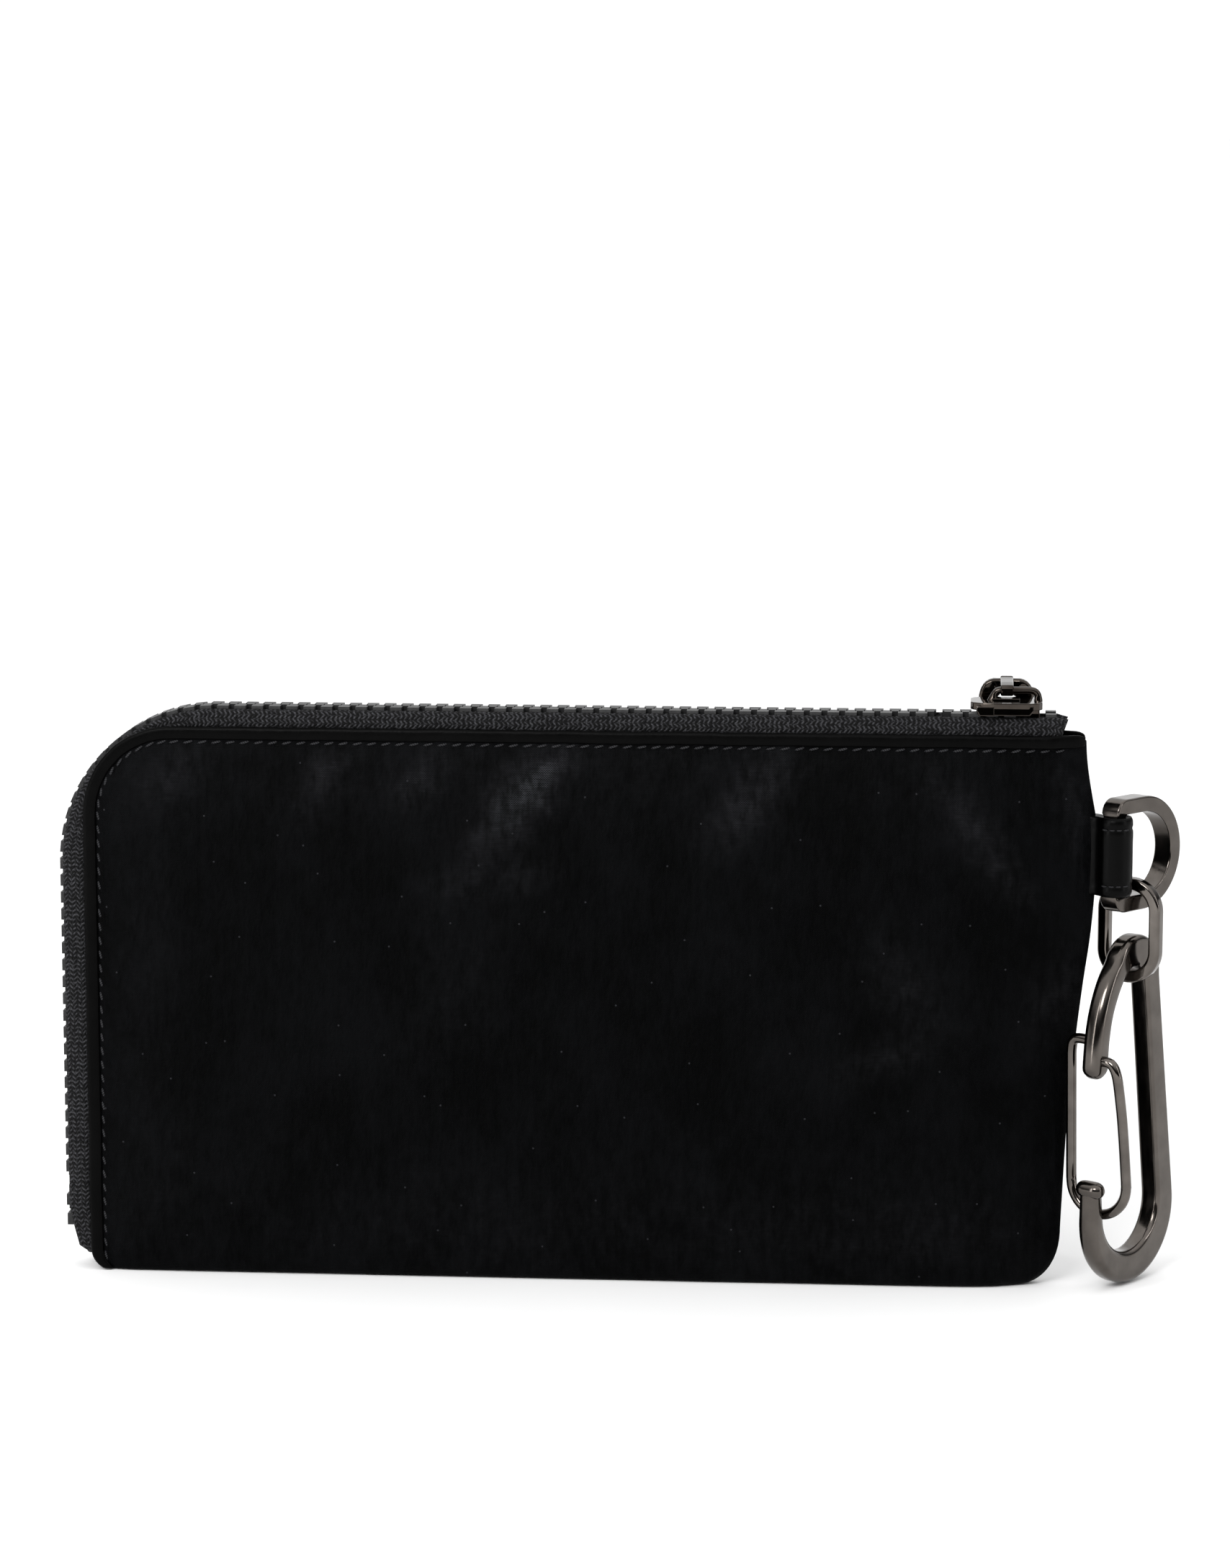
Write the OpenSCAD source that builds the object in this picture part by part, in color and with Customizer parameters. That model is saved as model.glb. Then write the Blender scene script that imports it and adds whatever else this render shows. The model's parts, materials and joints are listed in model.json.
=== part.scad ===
// Zippered pouch: a flat fabric wallet whose zip runs along the top, round one
// corner and down the left side, with a leather tab, D-ring, link and wire-gate
// clip on the right seam.
// X runs along the width, the front faces -Y, Z is up. The origin is the middle
// of the base, on the table.

/* [Pouch] */
// Width of the pouch, from the zip teeth on the left to the tab on the right
pouch_w = 201.6; // [198:0.2:204]
// Height of the zip teeth on top
pouch_h = 112.5; // [110:0.5:115]
// Outer radius of the zip at its corner
zip_corner_r = 31; // [28:0.5:32]
// Radius of the panel corner beside it
panel_corner_r = 17; // [14:0.5:19]
// Distance from the middle plane to the rims of the two panels
rim_y = 3.9; // [3.9:0.1:4.3]
// Distance from the middle plane to the fullest part of a panel
belly_y = 7.9; // [7.5:0.1:8.2]
// Width of the leather edge trim
trim_w = 2.1; // [1.5:0.1:2.1]
// Thickness of each lining sheet
lining_t = 0.4; // [0.3:0.1:0.4]
// Thickness of each foam stiffener
foam_t = 0.7; // [0.4:0.1:0.8]

/* [Zip] */
// Pitch of the teeth in one row
tooth_pitch = 3.37; // [3.3:0.01:3.5]
// Length of a tooth along the zip
tooth_len = 2.2; // [1.8:0.1:2.4]
// Length of the narrow head that meshes with the other row
head_len = 1.45; // [1.2:0.05:1.5]
// Height of the teeth above the tape
tooth_h = 1.2; // [1:0.1:1.2]
// Thickness of the zip tape
tape_t = 0.6; // [0.4:0.1:0.6]
// How far the tape reaches down behind the panel rims
tape_reach = 8.5; // [7:0.5:9]
// Length of the slider
slider_l = 13.7; // [12:0.1:14]
// Middle of the slider with the zip closed
slider_x = 82.9; // [82:0.1:83]

/* [Pull] */
// Radius of the round bar of the slider bridge
bridge_r = 0.7; // [0.6:0.05:0.8]
// Width of the eye on the bridge
eye_w = 2.7; // [2.2:0.1:3]
// Distance from the bridge to the pull ring, backwards
ring_y = 9.1; // [9:0.1:9.5]
// Height of the pull ring's top bar
ring_z = 117; // [116.8:0.1:117.4]
// Width of the pull ring between the middles of its sides
ring_w = 9.2; // [8:0.1:10]
// Length of the pull ring between the middles of its ends
ring_l = 24; // [18:1:26]
// Radius of the pull ring's bar
ring_r = 0.95; // [0.8:0.05:1]

/* [Tab and clip] */
// Height of the middle of the leather tab
tab_z = 85.2; // [84:0.1:86]
// Width of the leather tab
tab_w = 15.3; // [14:0.1:15.3]
// Radius of the straight bar of the D-ring
d_bar_r = 1.6; // [1.4:0.05:1.7]
// Outer height of the D-ring
d_h = 22; // [21.6:0.1:23]
// Depth of the D-ring from its straight bar to the far side of the bow
d_depth = 17; // [16:0.5:18]
// Direction of the D-ring at rest, from the width towards the back
d_angle = 49.5; // [45:0.5:55]
// Outer height of the chain link
link_h = 20.6; // [20.4:0.1:21]
// Outer width of the chain link
link_w = 12.9; // [12.6:0.1:13.2]
// Direction of the link's plane
link_angle = -25.5; // [-28:0.5:-23]
// Thickness of the clip's body
clip_t = 4.2; // [3.8:0.1:4.4]
// Direction of the clip's plane
clip_angle = 54.5; // [52:0.5:56]
// Radius of the gate wire
wire_r = 1.04; // [0.9:0.02:1.06]

/* [Hidden] */
$fn = 32;

// lines of the zip ridge and of the panel edge
ridge_x = -pouch_w / 2 + 0.3;
edge_x = ridge_x + 5.5;
edge_z = pouch_h - 4.5;
zip_centre = [ridge_x + zip_corner_r, pouch_h - zip_corner_r];
panel_centre = [edge_x + panel_corner_r, edge_z - panel_corner_r];
zip_end_x = 94.7;
seam_x0 = 84;
tape_foot_z = 3.5;
teeth_foot_z = 12;
teeth_end_x = 85.6;
tape_outer_y = rim_y - 0.1;
tape_split_y = 0.7;
first_layer_y = rim_y + 0.3;

// fold line of the opening flap, from the foot of the zip to the slider
fold_a = [ridge_x, 17.5];
fold_b = [70, pouch_h];
fold_dir = (fold_b - fold_a) / norm(fold_b - fold_a);
fold_up = [-fold_dir[1], fold_dir[0]];
fold_gap = 0.2;

// arc points of radius r about a centre, from angle a to angle b
function arc(c, r, a, b) = [for (i = [0:10]) c + r * [cos(a + (b - a) * i / 10), sin(a + (b - a) * i / 10)]];

// a line parallel to the zip ridge, d inside it, from foot height z to x
function zip_line(d, z, x) = concat([[ridge_x + d, z]],
    arc(zip_centre, zip_corner_r - d, 180, 90), [[x, pouch_h - d]]);

// a line parallel to the panel edge on its left and top sides
function edge_line(d, z, x) = concat([[edge_x + d, z]],
    arc(panel_centre, panel_corner_r - d, 180, 90), [[x, edge_z - d]]);

function backwards(p) = [for (i = [len(p) - 1:-1:0]) p[i]];

// outline of a panel, drawn in by d at the left and top, r at the right, b at the base
function outline(d, r, b) = let (c = max(4, panel_corner_r - d)) concat(
    arc([edge_x + d + c, edge_z - d - c], c, 180, 90),
    [[98.2 - r, edge_z - d], [98.7 - r, 97], [99.8 - r, 90], [99.8 - r, 77], [98.2 - r, 60], [94.7 - r, 16 + b]],
    [for (a = [-15:-15:-90]) [86 - r + 8.7 * cos(a), 12 + b + 12 * sin(a)]],
    [[edge_x + 2.6 + d, b], [edge_x + d, b + 4]]);

// a flat plate between two depths, from an outline drawn in X and Z
module slab(y0, y1) {
    translate([0, y1, 0])
        rotate([90, 0, 0])
            linear_extrude(y1 - y0)
                children();
}

module layer(y, d, r, b) {
    slab(-y, -y + 0.05)
        polygon(outline(d, r, b));
}

// the part of the front that opens, and the part that stays
module flap_zone() {
    slab(-12, 0)
        polygon([fold_a - 60 * fold_dir + fold_gap * fold_up, fold_b + 60 * fold_dir + fold_gap * fold_up,
            fold_b + 60 * fold_dir + 200 * fold_up, fold_a - 60 * fold_dir + 200 * fold_up]);
}

module fixed_zone() {
    slab(-12, 0)
        polygon([fold_a - 60 * fold_dir - fold_gap * fold_up, fold_b + 60 * fold_dir - fold_gap * fold_up,
            fold_b + 60 * fold_dir - 200 * fold_up, fold_a - 60 * fold_dir - 200 * fold_up]);
}

module on_flap() {
    intersection() {
        children();
        flap_zone();
    }
}

module on_fixed_front() {
    intersection() {
        children();
        fixed_zone();
    }
}

module on_back() {
    mirror([0, 1, 0])
        children();
}

// one fabric panel, a shallow shell that is full in the middle
module panel() {
    difference() {
        hull() {
            layer(rim_y + 0.05, trim_w + 0.1, 4, 0);
            layer(rim_y + 1.7, trim_w + 0.3, 9, 0);
            layer(belly_y - 0.7, 14, 18, 12);
            layer(belly_y, 32, 40, 30);
        }
        hull() {
            layer(rim_y - 0.2, trim_w + 1.3, 7, 1.2);
            layer(rim_y + 0.8, trim_w + 1.6, 10, 1.4);
            layer(belly_y - 1.8, 15, 20, 13);
            layer(belly_y - 1.1, 33, 41, 31);
        }
    }
}

module stiffener() {
    slab(-first_layer_y - lining_t - 0.2 - foam_t, -first_layer_y - lining_t - 0.2)
        polygon(outline(14, 20, 12));
}

module lining() {
    slab(-first_layer_y - lining_t, -first_layer_y)
        polygon(outline(6, 14, 3));
}

module edge_trim() {
    slab(-rim_y - 1, -rim_y)
        polygon(concat(edge_line(0, 4, 98.2), backwards(edge_line(trim_w, 4, 98.2))));
}

module tape() {
    slab(-tape_outer_y, -tape_outer_y + tape_t)
        polygon(concat(zip_line(tooth_h, tape_foot_z, zip_end_x),
            backwards(zip_line(tape_reach, tape_foot_z, zip_end_x))));
    slab(-tape_outer_y, -tape_split_y)
        polygon(concat(zip_line(tooth_h, tape_foot_z, zip_end_x),
            backwards(zip_line(tooth_h + tape_t, tape_foot_z, zip_end_x))));
}

// lengths along the zip: up the side, round the corner, along the top
side_l = zip_centre[1] - teeth_foot_z;
corner_l = zip_corner_r * PI / 2;
fold_start_s = fold_a[1] - teeth_foot_z;
fold_s = side_l + corner_l + fold_b[0] - zip_centre[0];
teeth_l = side_l + corner_l + teeth_end_x - zip_centre[0];

// carries a piece drawn at the origin, pointing up, to length s along the zip
module at_zip(s) {
    if (s < side_l) {
        translate([ridge_x, 0, teeth_foot_z + s])
            rotate([0, -90, 0])
                children();
    } else if (s < side_l + corner_l) {
        turn = (s - side_l) / corner_l * 90;
        translate([zip_centre[0] - zip_corner_r * cos(turn), 0, zip_centre[1] + zip_corner_r * sin(turn)])
            rotate([0, turn - 90, 0])
                children();
    } else {
        translate([zip_centre[0] + s - side_l - corner_l, 0, pouch_h])
            children();
    }
}

module tooth() {
    translate([-tooth_len / 2, -3, -tooth_h])
        cube([tooth_len, 2.1, tooth_h]);
    translate([-head_len / 2, -0.95, -tooth_h + 0.1])
        cube([head_len, 1.55, tooth_h - 0.1]);
}

module teeth(from, to, shift) {
    for (k = [0:ceil(teeth_l / tooth_pitch)]) {
        s = (k + shift) * tooth_pitch;
        if (s > from && s < to)
            at_zip(s)
                tooth();
    }
}

module back_panel() {
    color([0.07, 0.07, 0.08])
        on_back()
            panel();
}

module front_panel_lower() {
    color([0.07, 0.07, 0.08])
        on_fixed_front()
            panel();
}

module front_panel_flap() {
    color([0.07, 0.07, 0.08])
        on_flap()
            panel();
}

module base_fold() {
    color([0.07, 0.07, 0.08])
        slab(-rim_y + 0.05, rim_y - 0.05)
            polygon([[edge_x + 5, 0], [86, 0], [86, 1.5], [edge_x + 5, 1.5]]);
}

// strip of the outline's right edge, between two depths and drawn in by r
module right_strip(y0, y1, r) {
    slab(y0, y1)
        intersection() {
            polygon(outline(3, r, 2));
            translate([seam_x0 + 0.7, 3])
                square([30, 104]);
        }
}

// the rolled seam that closes the right side, stepped thinner towards its edge
module side_seam() {
    color([0.07, 0.07, 0.08])
        difference() {
            union() {
                right_strip(-3.8, 3.75, 7);
                right_strip(-2.1, 2.8, 3.4);
                right_strip(-0.5, 1.7, 0);
            }
            translate([96.9, -2.2, tab_z - tab_w / 2 - 0.1])
                cube([12, 5.1, tab_w + 0.2]);
            for (y = [-tape_outer_y - 0.1, tape_outer_y - tape_t - 0.1])
                translate([seam_x0, y, pouch_h - tape_reach - 0.3])
                    cube([zip_end_x + 0.3 - seam_x0, tape_t + 0.2, 9]);
        }
}

module back_stiffener() {
    color([0.45, 0.45, 0.45])
        on_back()
            stiffener();
}

module front_stiffener_lower() {
    color([0.45, 0.45, 0.45])
        on_fixed_front()
            stiffener();
}

module front_stiffener_flap() {
    color([0.45, 0.45, 0.45])
        on_flap()
            stiffener();
}

module back_lining() {
    color([0.2, 0.2, 0.22])
        on_back()
            lining();
}

module front_lining_lower() {
    color([0.2, 0.2, 0.22])
        on_fixed_front()
            lining();
}

module front_lining_flap() {
    color([0.2, 0.2, 0.22])
        on_flap()
            lining();
}

module back_edge_trim() {
    color([0.05, 0.05, 0.05])
        on_back()
            edge_trim();
}

module front_edge_trim_end() {
    color([0.05, 0.05, 0.05])
        on_fixed_front()
            edge_trim();
}

module front_edge_trim_flap() {
    color([0.05, 0.05, 0.05])
        on_flap()
            edge_trim();
}

module back_tape() {
    color([0.14, 0.14, 0.15])
        on_back()
            tape();
}

module front_tape_end() {
    color([0.14, 0.14, 0.15])
        on_fixed_front()
            tape();
}

module front_tape_flap() {
    color([0.14, 0.14, 0.15])
        on_flap()
            tape();
}

module back_teeth() {
    color([0.1, 0.1, 0.1])
        on_back()
            teeth(-1, teeth_l, 0);
}

module front_teeth_end() {
    color([0.1, 0.1, 0.1]) {
        teeth(-1, fold_start_s - 1.2, 0.5);
        teeth(fold_s + 1.5, teeth_l, 0.5);
    }
}

module front_teeth_flap() {
    color([0.1, 0.1, 0.1])
        teeth(fold_start_s + 1.5, fold_s - 1.5, 0.5);
}

// a small clamp on the end of each tape
module top_stops() {
    color([0.3, 0.3, 0.3])
        for (y = [-3, 1.2])
            translate([90.4, y, pouch_h - tooth_h])
                cube([2, 1.8, tooth_h]);
}

// one clamp across both tapes at the foot of the zip
module bottom_stop() {
    color([0.3, 0.3, 0.3])
        translate([ridge_x, -2.6, teeth_foot_z - 3.5])
            cube([tooth_h, 5.2, 2.3]);
}

plate_under_z = pouch_h + 0.35;
plate_top_z = pouch_h + 2.3;
slider_x0 = slider_x - slider_l / 2;
bridge_z = plate_top_z + 2.6 - bridge_r;
bridge_x0 = slider_x0 + 4.6;
bridge_x1 = slider_x0 + slider_l - 0.9;
post_x = slider_x0 + slider_l - 2.9;
inner_plate_top_z = pouch_h - tooth_h - tape_t - 0.3;

module slider_body() {
    color([0.35, 0.34, 0.33]) {
        translate([slider_x0, -5, plate_under_z])
            cube([slider_l, 10, plate_top_z - plate_under_z]);
        for (y = [-5, 3.4])
            translate([slider_x0 + 1.4, y, pouch_h - 0.4])
                cube([slider_l - 2.8, 1.6, 1]);
        translate([post_x, -0.4, inner_plate_top_z - 0.2])
            cube([2.4, 0.8, plate_under_z - inner_plate_top_z + 0.4]);
        translate([slider_x0, -2.8, inner_plate_top_z - 1])
            cube([slider_l, 5.6, 1]);
    }
}

// arch of round bar along the top of the slider
module slider_bridge() {
    color([0.4, 0.39, 0.38]) {
        translate([bridge_x0, 0, bridge_z])
            rotate([0, 90, 0])
                cylinder(h = bridge_x1 - bridge_x0, r = bridge_r);
        for (x = [bridge_x0, bridge_x1]) {
            translate([x, 0, plate_top_z])
                cylinder(h = bridge_z - plate_top_z, r = bridge_r);
            translate([x, 0, bridge_z])
                sphere(r = bridge_r);
        }
    }
}

eye_x = bridge_x0 + bridge_r + 0.3 + eye_w / 2;

// block that turns on the bridge bar and carries the pull ring behind it
module pull_eye() {
    color([0.4, 0.39, 0.38])
        difference() {
            translate([eye_x - eye_w / 2, 0, 0])
                rotate([90, 0, 90])
                    linear_extrude(eye_w)
                        union() {
                            translate([0, bridge_z])
                                circle(r = 1.35);
                            translate([ring_y, ring_z])
                                circle(r = ring_r + 0.5);
                            polygon([[0, bridge_z - 1.2], [ring_y, ring_z - 1.2],
                                [ring_y, ring_z + 1.2], [0, bridge_z + 1.2]]);
                        }
            translate([eye_x - 5, 0, bridge_z])
                rotate([0, 90, 0])
                    cylinder(h = 10, r = bridge_r + 0.05);
            translate([eye_x - 5, ring_y, ring_z])
                rotate([0, 90, 0])
                    cylinder(h = 10, r = ring_r + 0.05);
        }
}

// quarter of a round bar, bent to radius r, from angle a
module bend(r, bar, a, sweep) {
    rotate([90, 0, 0])
        rotate([0, 0, a])
            rotate_extrude(angle = sweep)
                translate([r, 0])
                    circle(r = bar);
}

pull_corner_r = 2.2;

// round-bar ring, narrow corners on top and a half-round end below
module pull_ring() {
    color([0.4, 0.39, 0.38])
        translate([eye_x, ring_y, ring_z]) {
            translate([-ring_w / 2 + pull_corner_r, 0, 0])
                rotate([0, 90, 0])
                    cylinder(h = ring_w - 2 * pull_corner_r, r = ring_r);
            translate([ring_w / 2 - pull_corner_r, 0, -pull_corner_r])
                bend(pull_corner_r, ring_r, 0, 90);
            translate([-ring_w / 2 + pull_corner_r, 0, -pull_corner_r])
                bend(pull_corner_r, ring_r, 90, 90);
            for (x = [-ring_w / 2, ring_w / 2])
                translate([x, 0, -ring_l + ring_w / 2])
                    cylinder(h = ring_l - ring_w / 2 - pull_corner_r, r = ring_r);
            translate([0, 0, -ring_l + ring_w / 2])
                bend(ring_w / 2, ring_r, 180, 180);
        }
}

// vertical axis of the D-ring's straight bar
d_x = 103.8;
d_y = -2.2;

module leather_tab() {
    color([0.09, 0.08, 0.08])
        translate([0, 0, tab_z - tab_w / 2])
            linear_extrude(tab_w)
                difference() {
                    union() {
                        translate([d_x, d_y])
                            circle(r = 3.6);
                        polygon([[d_x, d_y - 3.5], [d_x, d_y + 3.5], [100.4, 1.4], [97, 1.4],
                            [97, -1.8], [100.4, -1.8]]);
                    }
                    translate([d_x, d_y])
                        circle(r = d_bar_r + 0.06);
                }
}

// bevelled bar section, w in the plane of a ring and t across it
module bar_section(w, t, c) {
    polygon([[-w / 2 + c, -t / 2], [w / 2 - c, -t / 2], [w / 2, -t / 2 + c], [w / 2, t / 2 - c],
        [w / 2 - c, t / 2], [-w / 2 + c, t / 2], [-w / 2, t / 2 - c], [-w / 2, -t / 2 + c]]);
}

d_bar_w = 3;
d_bar_t = 4.2;
bow_r = d_h / 2 - d_bar_w / 2;
bow_x = d_depth - d_bar_w / 2 - bow_r;

module d_ring() {
    color([0.33, 0.32, 0.31])
        translate([d_x, d_y, tab_z])
            rotate([0, 0, d_angle]) {
                translate([0, 0, -bow_r])
                    cylinder(h = 2 * bow_r, r = d_bar_r);
                for (z = [-bow_r, bow_r])
                    translate([-d_bar_r, 0, z])
                        rotate([90, 0, 90])
                            linear_extrude(bow_x + d_bar_r)
                                bar_section(d_bar_t, d_bar_w, 0.9);
                translate([bow_x, 0, 0])
                    rotate([90, 0, 0])
                        rotate([0, 0, -90])
                            rotate_extrude(angle = 180)
                                translate([bow_r, 0])
                                    bar_section(d_bar_w, d_bar_t, 0.9);
            }
}

// place of the link and the clip, which hang from the lower bar of the D-ring
hang_r = 5.4;
hang_x = d_x + hang_r * cos(d_angle);
hang_y = d_y + hang_r * sin(d_angle);
link_top_z = tab_z - bow_r + d_bar_w / 2 + 0.9 + 2.3;
link_bar_w = 2.3;
link_bar_t = 2.6;
link_r = (link_w - link_bar_w) / 2;
link_side = link_h - link_w;

module chain_link() {
    color([0.38, 0.37, 0.36])
        translate([hang_x, hang_y, link_top_z - link_h / 2])
            rotate([0, 0, link_angle]) {
                for (x = [-link_r, link_r])
                    translate([x, 0, -link_side / 2])
                        linear_extrude(link_side)
                            bar_section(link_bar_w, link_bar_t, 0.6);
                for (end = [-1, 1])
                    translate([0, 0, end * link_side / 2])
                        rotate([90, 0, 0])
                            rotate([0, 0, end < 0 ? 180 : 0])
                                rotate_extrude(angle = 180)
                                    translate([link_r, 0])
                                        bar_section(link_bar_w, link_bar_t, 0.6);
            }
}

// the clip is drawn in its own plane, u across and v up, with u = 0 at the nose
clip_z = 1;
apex_u = 14;
hinge_u = 2.7;
hinge_v = 46.5;
nose_v = 21.5;
head_u = 1.75;
head_r = 1.6;
head_w = 5.9;
gate_foot_u = 4.6;
gate_foot_v = 20.9;
gate_foot_y = 6.35;
gate_top_y = 5.65;

module clip_frame() {
    translate([hang_x, hang_y, clip_z])
        rotate([0, 0, clip_angle])
            translate([-apex_u, 0, 0])
                children();
}

module clip_outer() {
    hull() {
        translate([14, 13.4])
            circle(r = 14, $fn = 64);
        translate([14.5, 60.9])
            circle(r = 7.3, $fn = 48);
        translate([hinge_u, hinge_v])
            circle(r = hinge_u);
    }
}

module clip_inner() {
    hull() {
        translate([13.3, 15])
            circle(r = 9.2, $fn = 48);
        translate([13.7, 58.4])
            circle(r = 3.6);
        translate([7.2, hinge_v + 1])
            circle(r = 2);
        translate([5.2, 22])
            circle(r = 2);
    }
}

module carabiner_body() {
    color([0.36, 0.35, 0.33])
        clip_frame()
            difference() {
                union() {
                    translate([0, clip_t / 2, 0])
                        rotate([90, 0, 0])
                            linear_extrude(clip_t)
                                difference() {
                                    clip_outer();
                                    clip_inner();
                                    translate([-2, nose_v])
                                        square([8.5, hinge_v - hinge_u - nose_v]);
                                    translate([gate_foot_u, gate_foot_v - gate_foot_y])
                                        circle(r = wire_r + 0.45);
                                }
                    translate([head_u, head_w / 2, nose_v - head_r])
                        rotate([90, 0, 0])
                            cylinder(h = head_w, r = head_r);
                }
                translate([hinge_u, 5, hinge_v])
                    rotate([90, 0, 0])
                        cylinder(h = 10, r = wire_r + 0.05);
            }
}

// round bar between two points
module rod(a, b, r) {
    d = b - a;
    translate(a)
        rotate([0, acos(d[2] / norm(d)), atan2(d[1], d[0])])
            cylinder(h = norm(d), r = r);
}

// sprung wire loop: a pin through the hinge hole, two legs and a round foot
module gate_wire() {
    color([0.45, 0.44, 0.42])
        clip_frame() {
            rod([hinge_u, -gate_top_y, hinge_v], [hinge_u, gate_top_y, hinge_v], wire_r);
            for (side = [-1, 1]) {
                rod([hinge_u, side * gate_top_y, hinge_v], [gate_foot_u, side * gate_foot_y, gate_foot_v], wire_r);
                translate([hinge_u, side * gate_top_y, hinge_v])
                    sphere(r = wire_r + 0.06);
                translate([gate_foot_u, side * gate_foot_y, gate_foot_v])
                    sphere(r = wire_r + 0.06);
            }
            translate([gate_foot_u, 0, gate_foot_v])
                rotate([90, 0, 90])
                    rotate([0, 0, 180])
                        rotate_extrude(angle = 180)
                            translate([gate_foot_y, 0])
                                circle(r = wire_r);
        }
}

back_panel();
front_panel_lower();
front_panel_flap();
base_fold();
side_seam();
back_stiffener();
front_stiffener_lower();
front_stiffener_flap();
back_lining();
front_lining_lower();
front_lining_flap();
back_edge_trim();
front_edge_trim_end();
front_edge_trim_flap();
back_tape();
front_tape_end();
front_tape_flap();
back_teeth();
front_teeth_end();
front_teeth_flap();
top_stops();
bottom_stop();
slider_body();
slider_bridge();
pull_eye();
pull_ring();
leather_tab();
d_ring();
chain_link();
carabiner_body();
gate_wire();
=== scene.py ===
"""Looks of the zippered pouch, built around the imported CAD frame."""
import json
import math

import bmesh
import bpy
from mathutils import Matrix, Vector, noise


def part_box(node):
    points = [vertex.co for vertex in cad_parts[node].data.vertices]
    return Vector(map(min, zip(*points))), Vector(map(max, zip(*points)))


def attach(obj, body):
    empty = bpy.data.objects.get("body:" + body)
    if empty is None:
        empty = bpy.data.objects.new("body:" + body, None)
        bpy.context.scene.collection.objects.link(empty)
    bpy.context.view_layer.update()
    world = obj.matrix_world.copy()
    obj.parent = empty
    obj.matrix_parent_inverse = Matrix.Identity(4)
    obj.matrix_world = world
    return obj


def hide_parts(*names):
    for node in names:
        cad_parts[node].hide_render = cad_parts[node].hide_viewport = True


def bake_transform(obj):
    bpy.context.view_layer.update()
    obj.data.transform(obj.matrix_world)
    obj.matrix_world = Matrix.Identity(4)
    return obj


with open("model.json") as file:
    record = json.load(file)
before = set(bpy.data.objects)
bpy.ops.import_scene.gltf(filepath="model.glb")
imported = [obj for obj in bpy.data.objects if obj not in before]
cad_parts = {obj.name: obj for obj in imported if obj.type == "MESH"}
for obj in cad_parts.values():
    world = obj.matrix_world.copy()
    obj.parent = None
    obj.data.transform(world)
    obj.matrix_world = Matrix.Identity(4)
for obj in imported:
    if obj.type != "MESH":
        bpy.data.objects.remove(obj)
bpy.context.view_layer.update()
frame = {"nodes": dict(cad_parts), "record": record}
MM = 0.001
FRONT, BACK = -1, 1


# ---- places from the frame
def box_mm(node):
    """Lowest and highest corner of a CAD node, in millimetres."""
    low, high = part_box(node)
    return Vector(low) / MM, Vector(high) / MM


def joint(name):
    return next(j for j in frame["record"]["behaviour"]["joints"] if j["name"] == name)


def pivot_mm(name):
    return Vector(joint(name)["pos_m"]) / MM


TEETH_LOW, TEETH_HIGH = box_mm("back_teeth")
TRIM_LOW, TRIM_HIGH = box_mm("front_edge_trim_flap")
TAPE_END = box_mm("back_tape")[1].x
RIDGE_X = TEETH_LOW.x
RIDGE_Z = TEETH_HIGH.z
EDGE_X = TRIM_LOW.x
EDGE_Z = TRIM_HIGH.z
# radii of the upper left corner: of the zip ridge, and of the panels
ZIP_R = 31.0
PANEL_R = 17.0
ZIP_CENTRE = (RIDGE_X + ZIP_R, RIDGE_Z - ZIP_R)
PANEL_CENTRE = (EDGE_X + PANEL_R, EDGE_Z - PANEL_R)
SEAM_Y = 0.6
FOLD_POINT = pivot_mm("flap_open")
FOLD_DIR = Vector(joint("flap_open")["axis"])
# from the flap's pivot to the middle of the diagonal
FOLD_MIDDLE = 98
CLOTH_MID = 0.5 * (EDGE_X + box_mm("side_seam")[1].x)

# soft folds of the cloth, each with a sheen painted into the cloth's colour (the last few broad ones are
# mostly painted light along the top, base and left): x, z, lean in degrees, half length, half width,
# strength
FOLDS = [(-9.2, 96.0, 50, 11, 4.6, 1.1), (34.4, 95.7, 55, 11, 4.6, 0.5),
         (77.8, 89.2, -52, 14, 4.0, 0.34), (-48.3, 98.6, 60, 8, 4.0, 0.36),
         (-29.9, 98.6, 55, 6.5, 4.0, 0.32), (-19.3, 81.5, 30, 10, 4.5, 0.25),
         (64.1, 60.3, -50, 11, 6.0, 0.2), (94.5, 58.9, 60, 10, 6.0, 0.22), (59.9, 45.4, 20, 10, 4.0, 0.2),
         (96.6, 92.9, -75, 11, 3.5, 0.22), (-77.3, 100, 40, 10, 6.0, 0.2), (-9.4, 80.1, 20, 7, 3.0, 0.2),
         (-23.6, 58.8, 75, 14, 11, 0.07), (66.9, 10.6, 0, 30, 9, 0.08), (0, 103, 0, 100, 13, 0.09),
         (5, 10, 0, 100, 16, 0.08), (-84, 50, 90, 50, 10, 0.06)]


# ---- meshes
def new_mesh(name, verts, faces, uvs=None, smooth=True):
    """A mesh object from millimetre points, with an optional uv for each vertex."""
    mesh = bpy.data.meshes.new(name)
    mesh.from_pydata([Vector(v) * MM for v in verts], [], faces)
    mesh.update()
    if uvs:
        layer = mesh.uv_layers.new(name="UVMap")
        for loop in mesh.loops:
            layer.data[loop.index].uv = uvs[loop.vertex_index]
    for face in mesh.polygons:
        face.use_smooth = smooth
    piece = bpy.data.objects.new(name, mesh)
    bpy.context.scene.collection.objects.link(piece)
    return piece


def grid_faces(rows, cols, closed_row=False, closed_col=False, base=0):
    """Quads of a grid of rows by cols vertices."""
    faces = []
    for i in range(rows if closed_col else rows - 1):
        for j in range(cols if closed_row else cols - 1):
            here, there = base + i * cols, base + (i + 1) % rows * cols
            after = (j + 1) % cols
            faces.append((here + j, here + after, there + after, there + j))
    return faces


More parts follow.
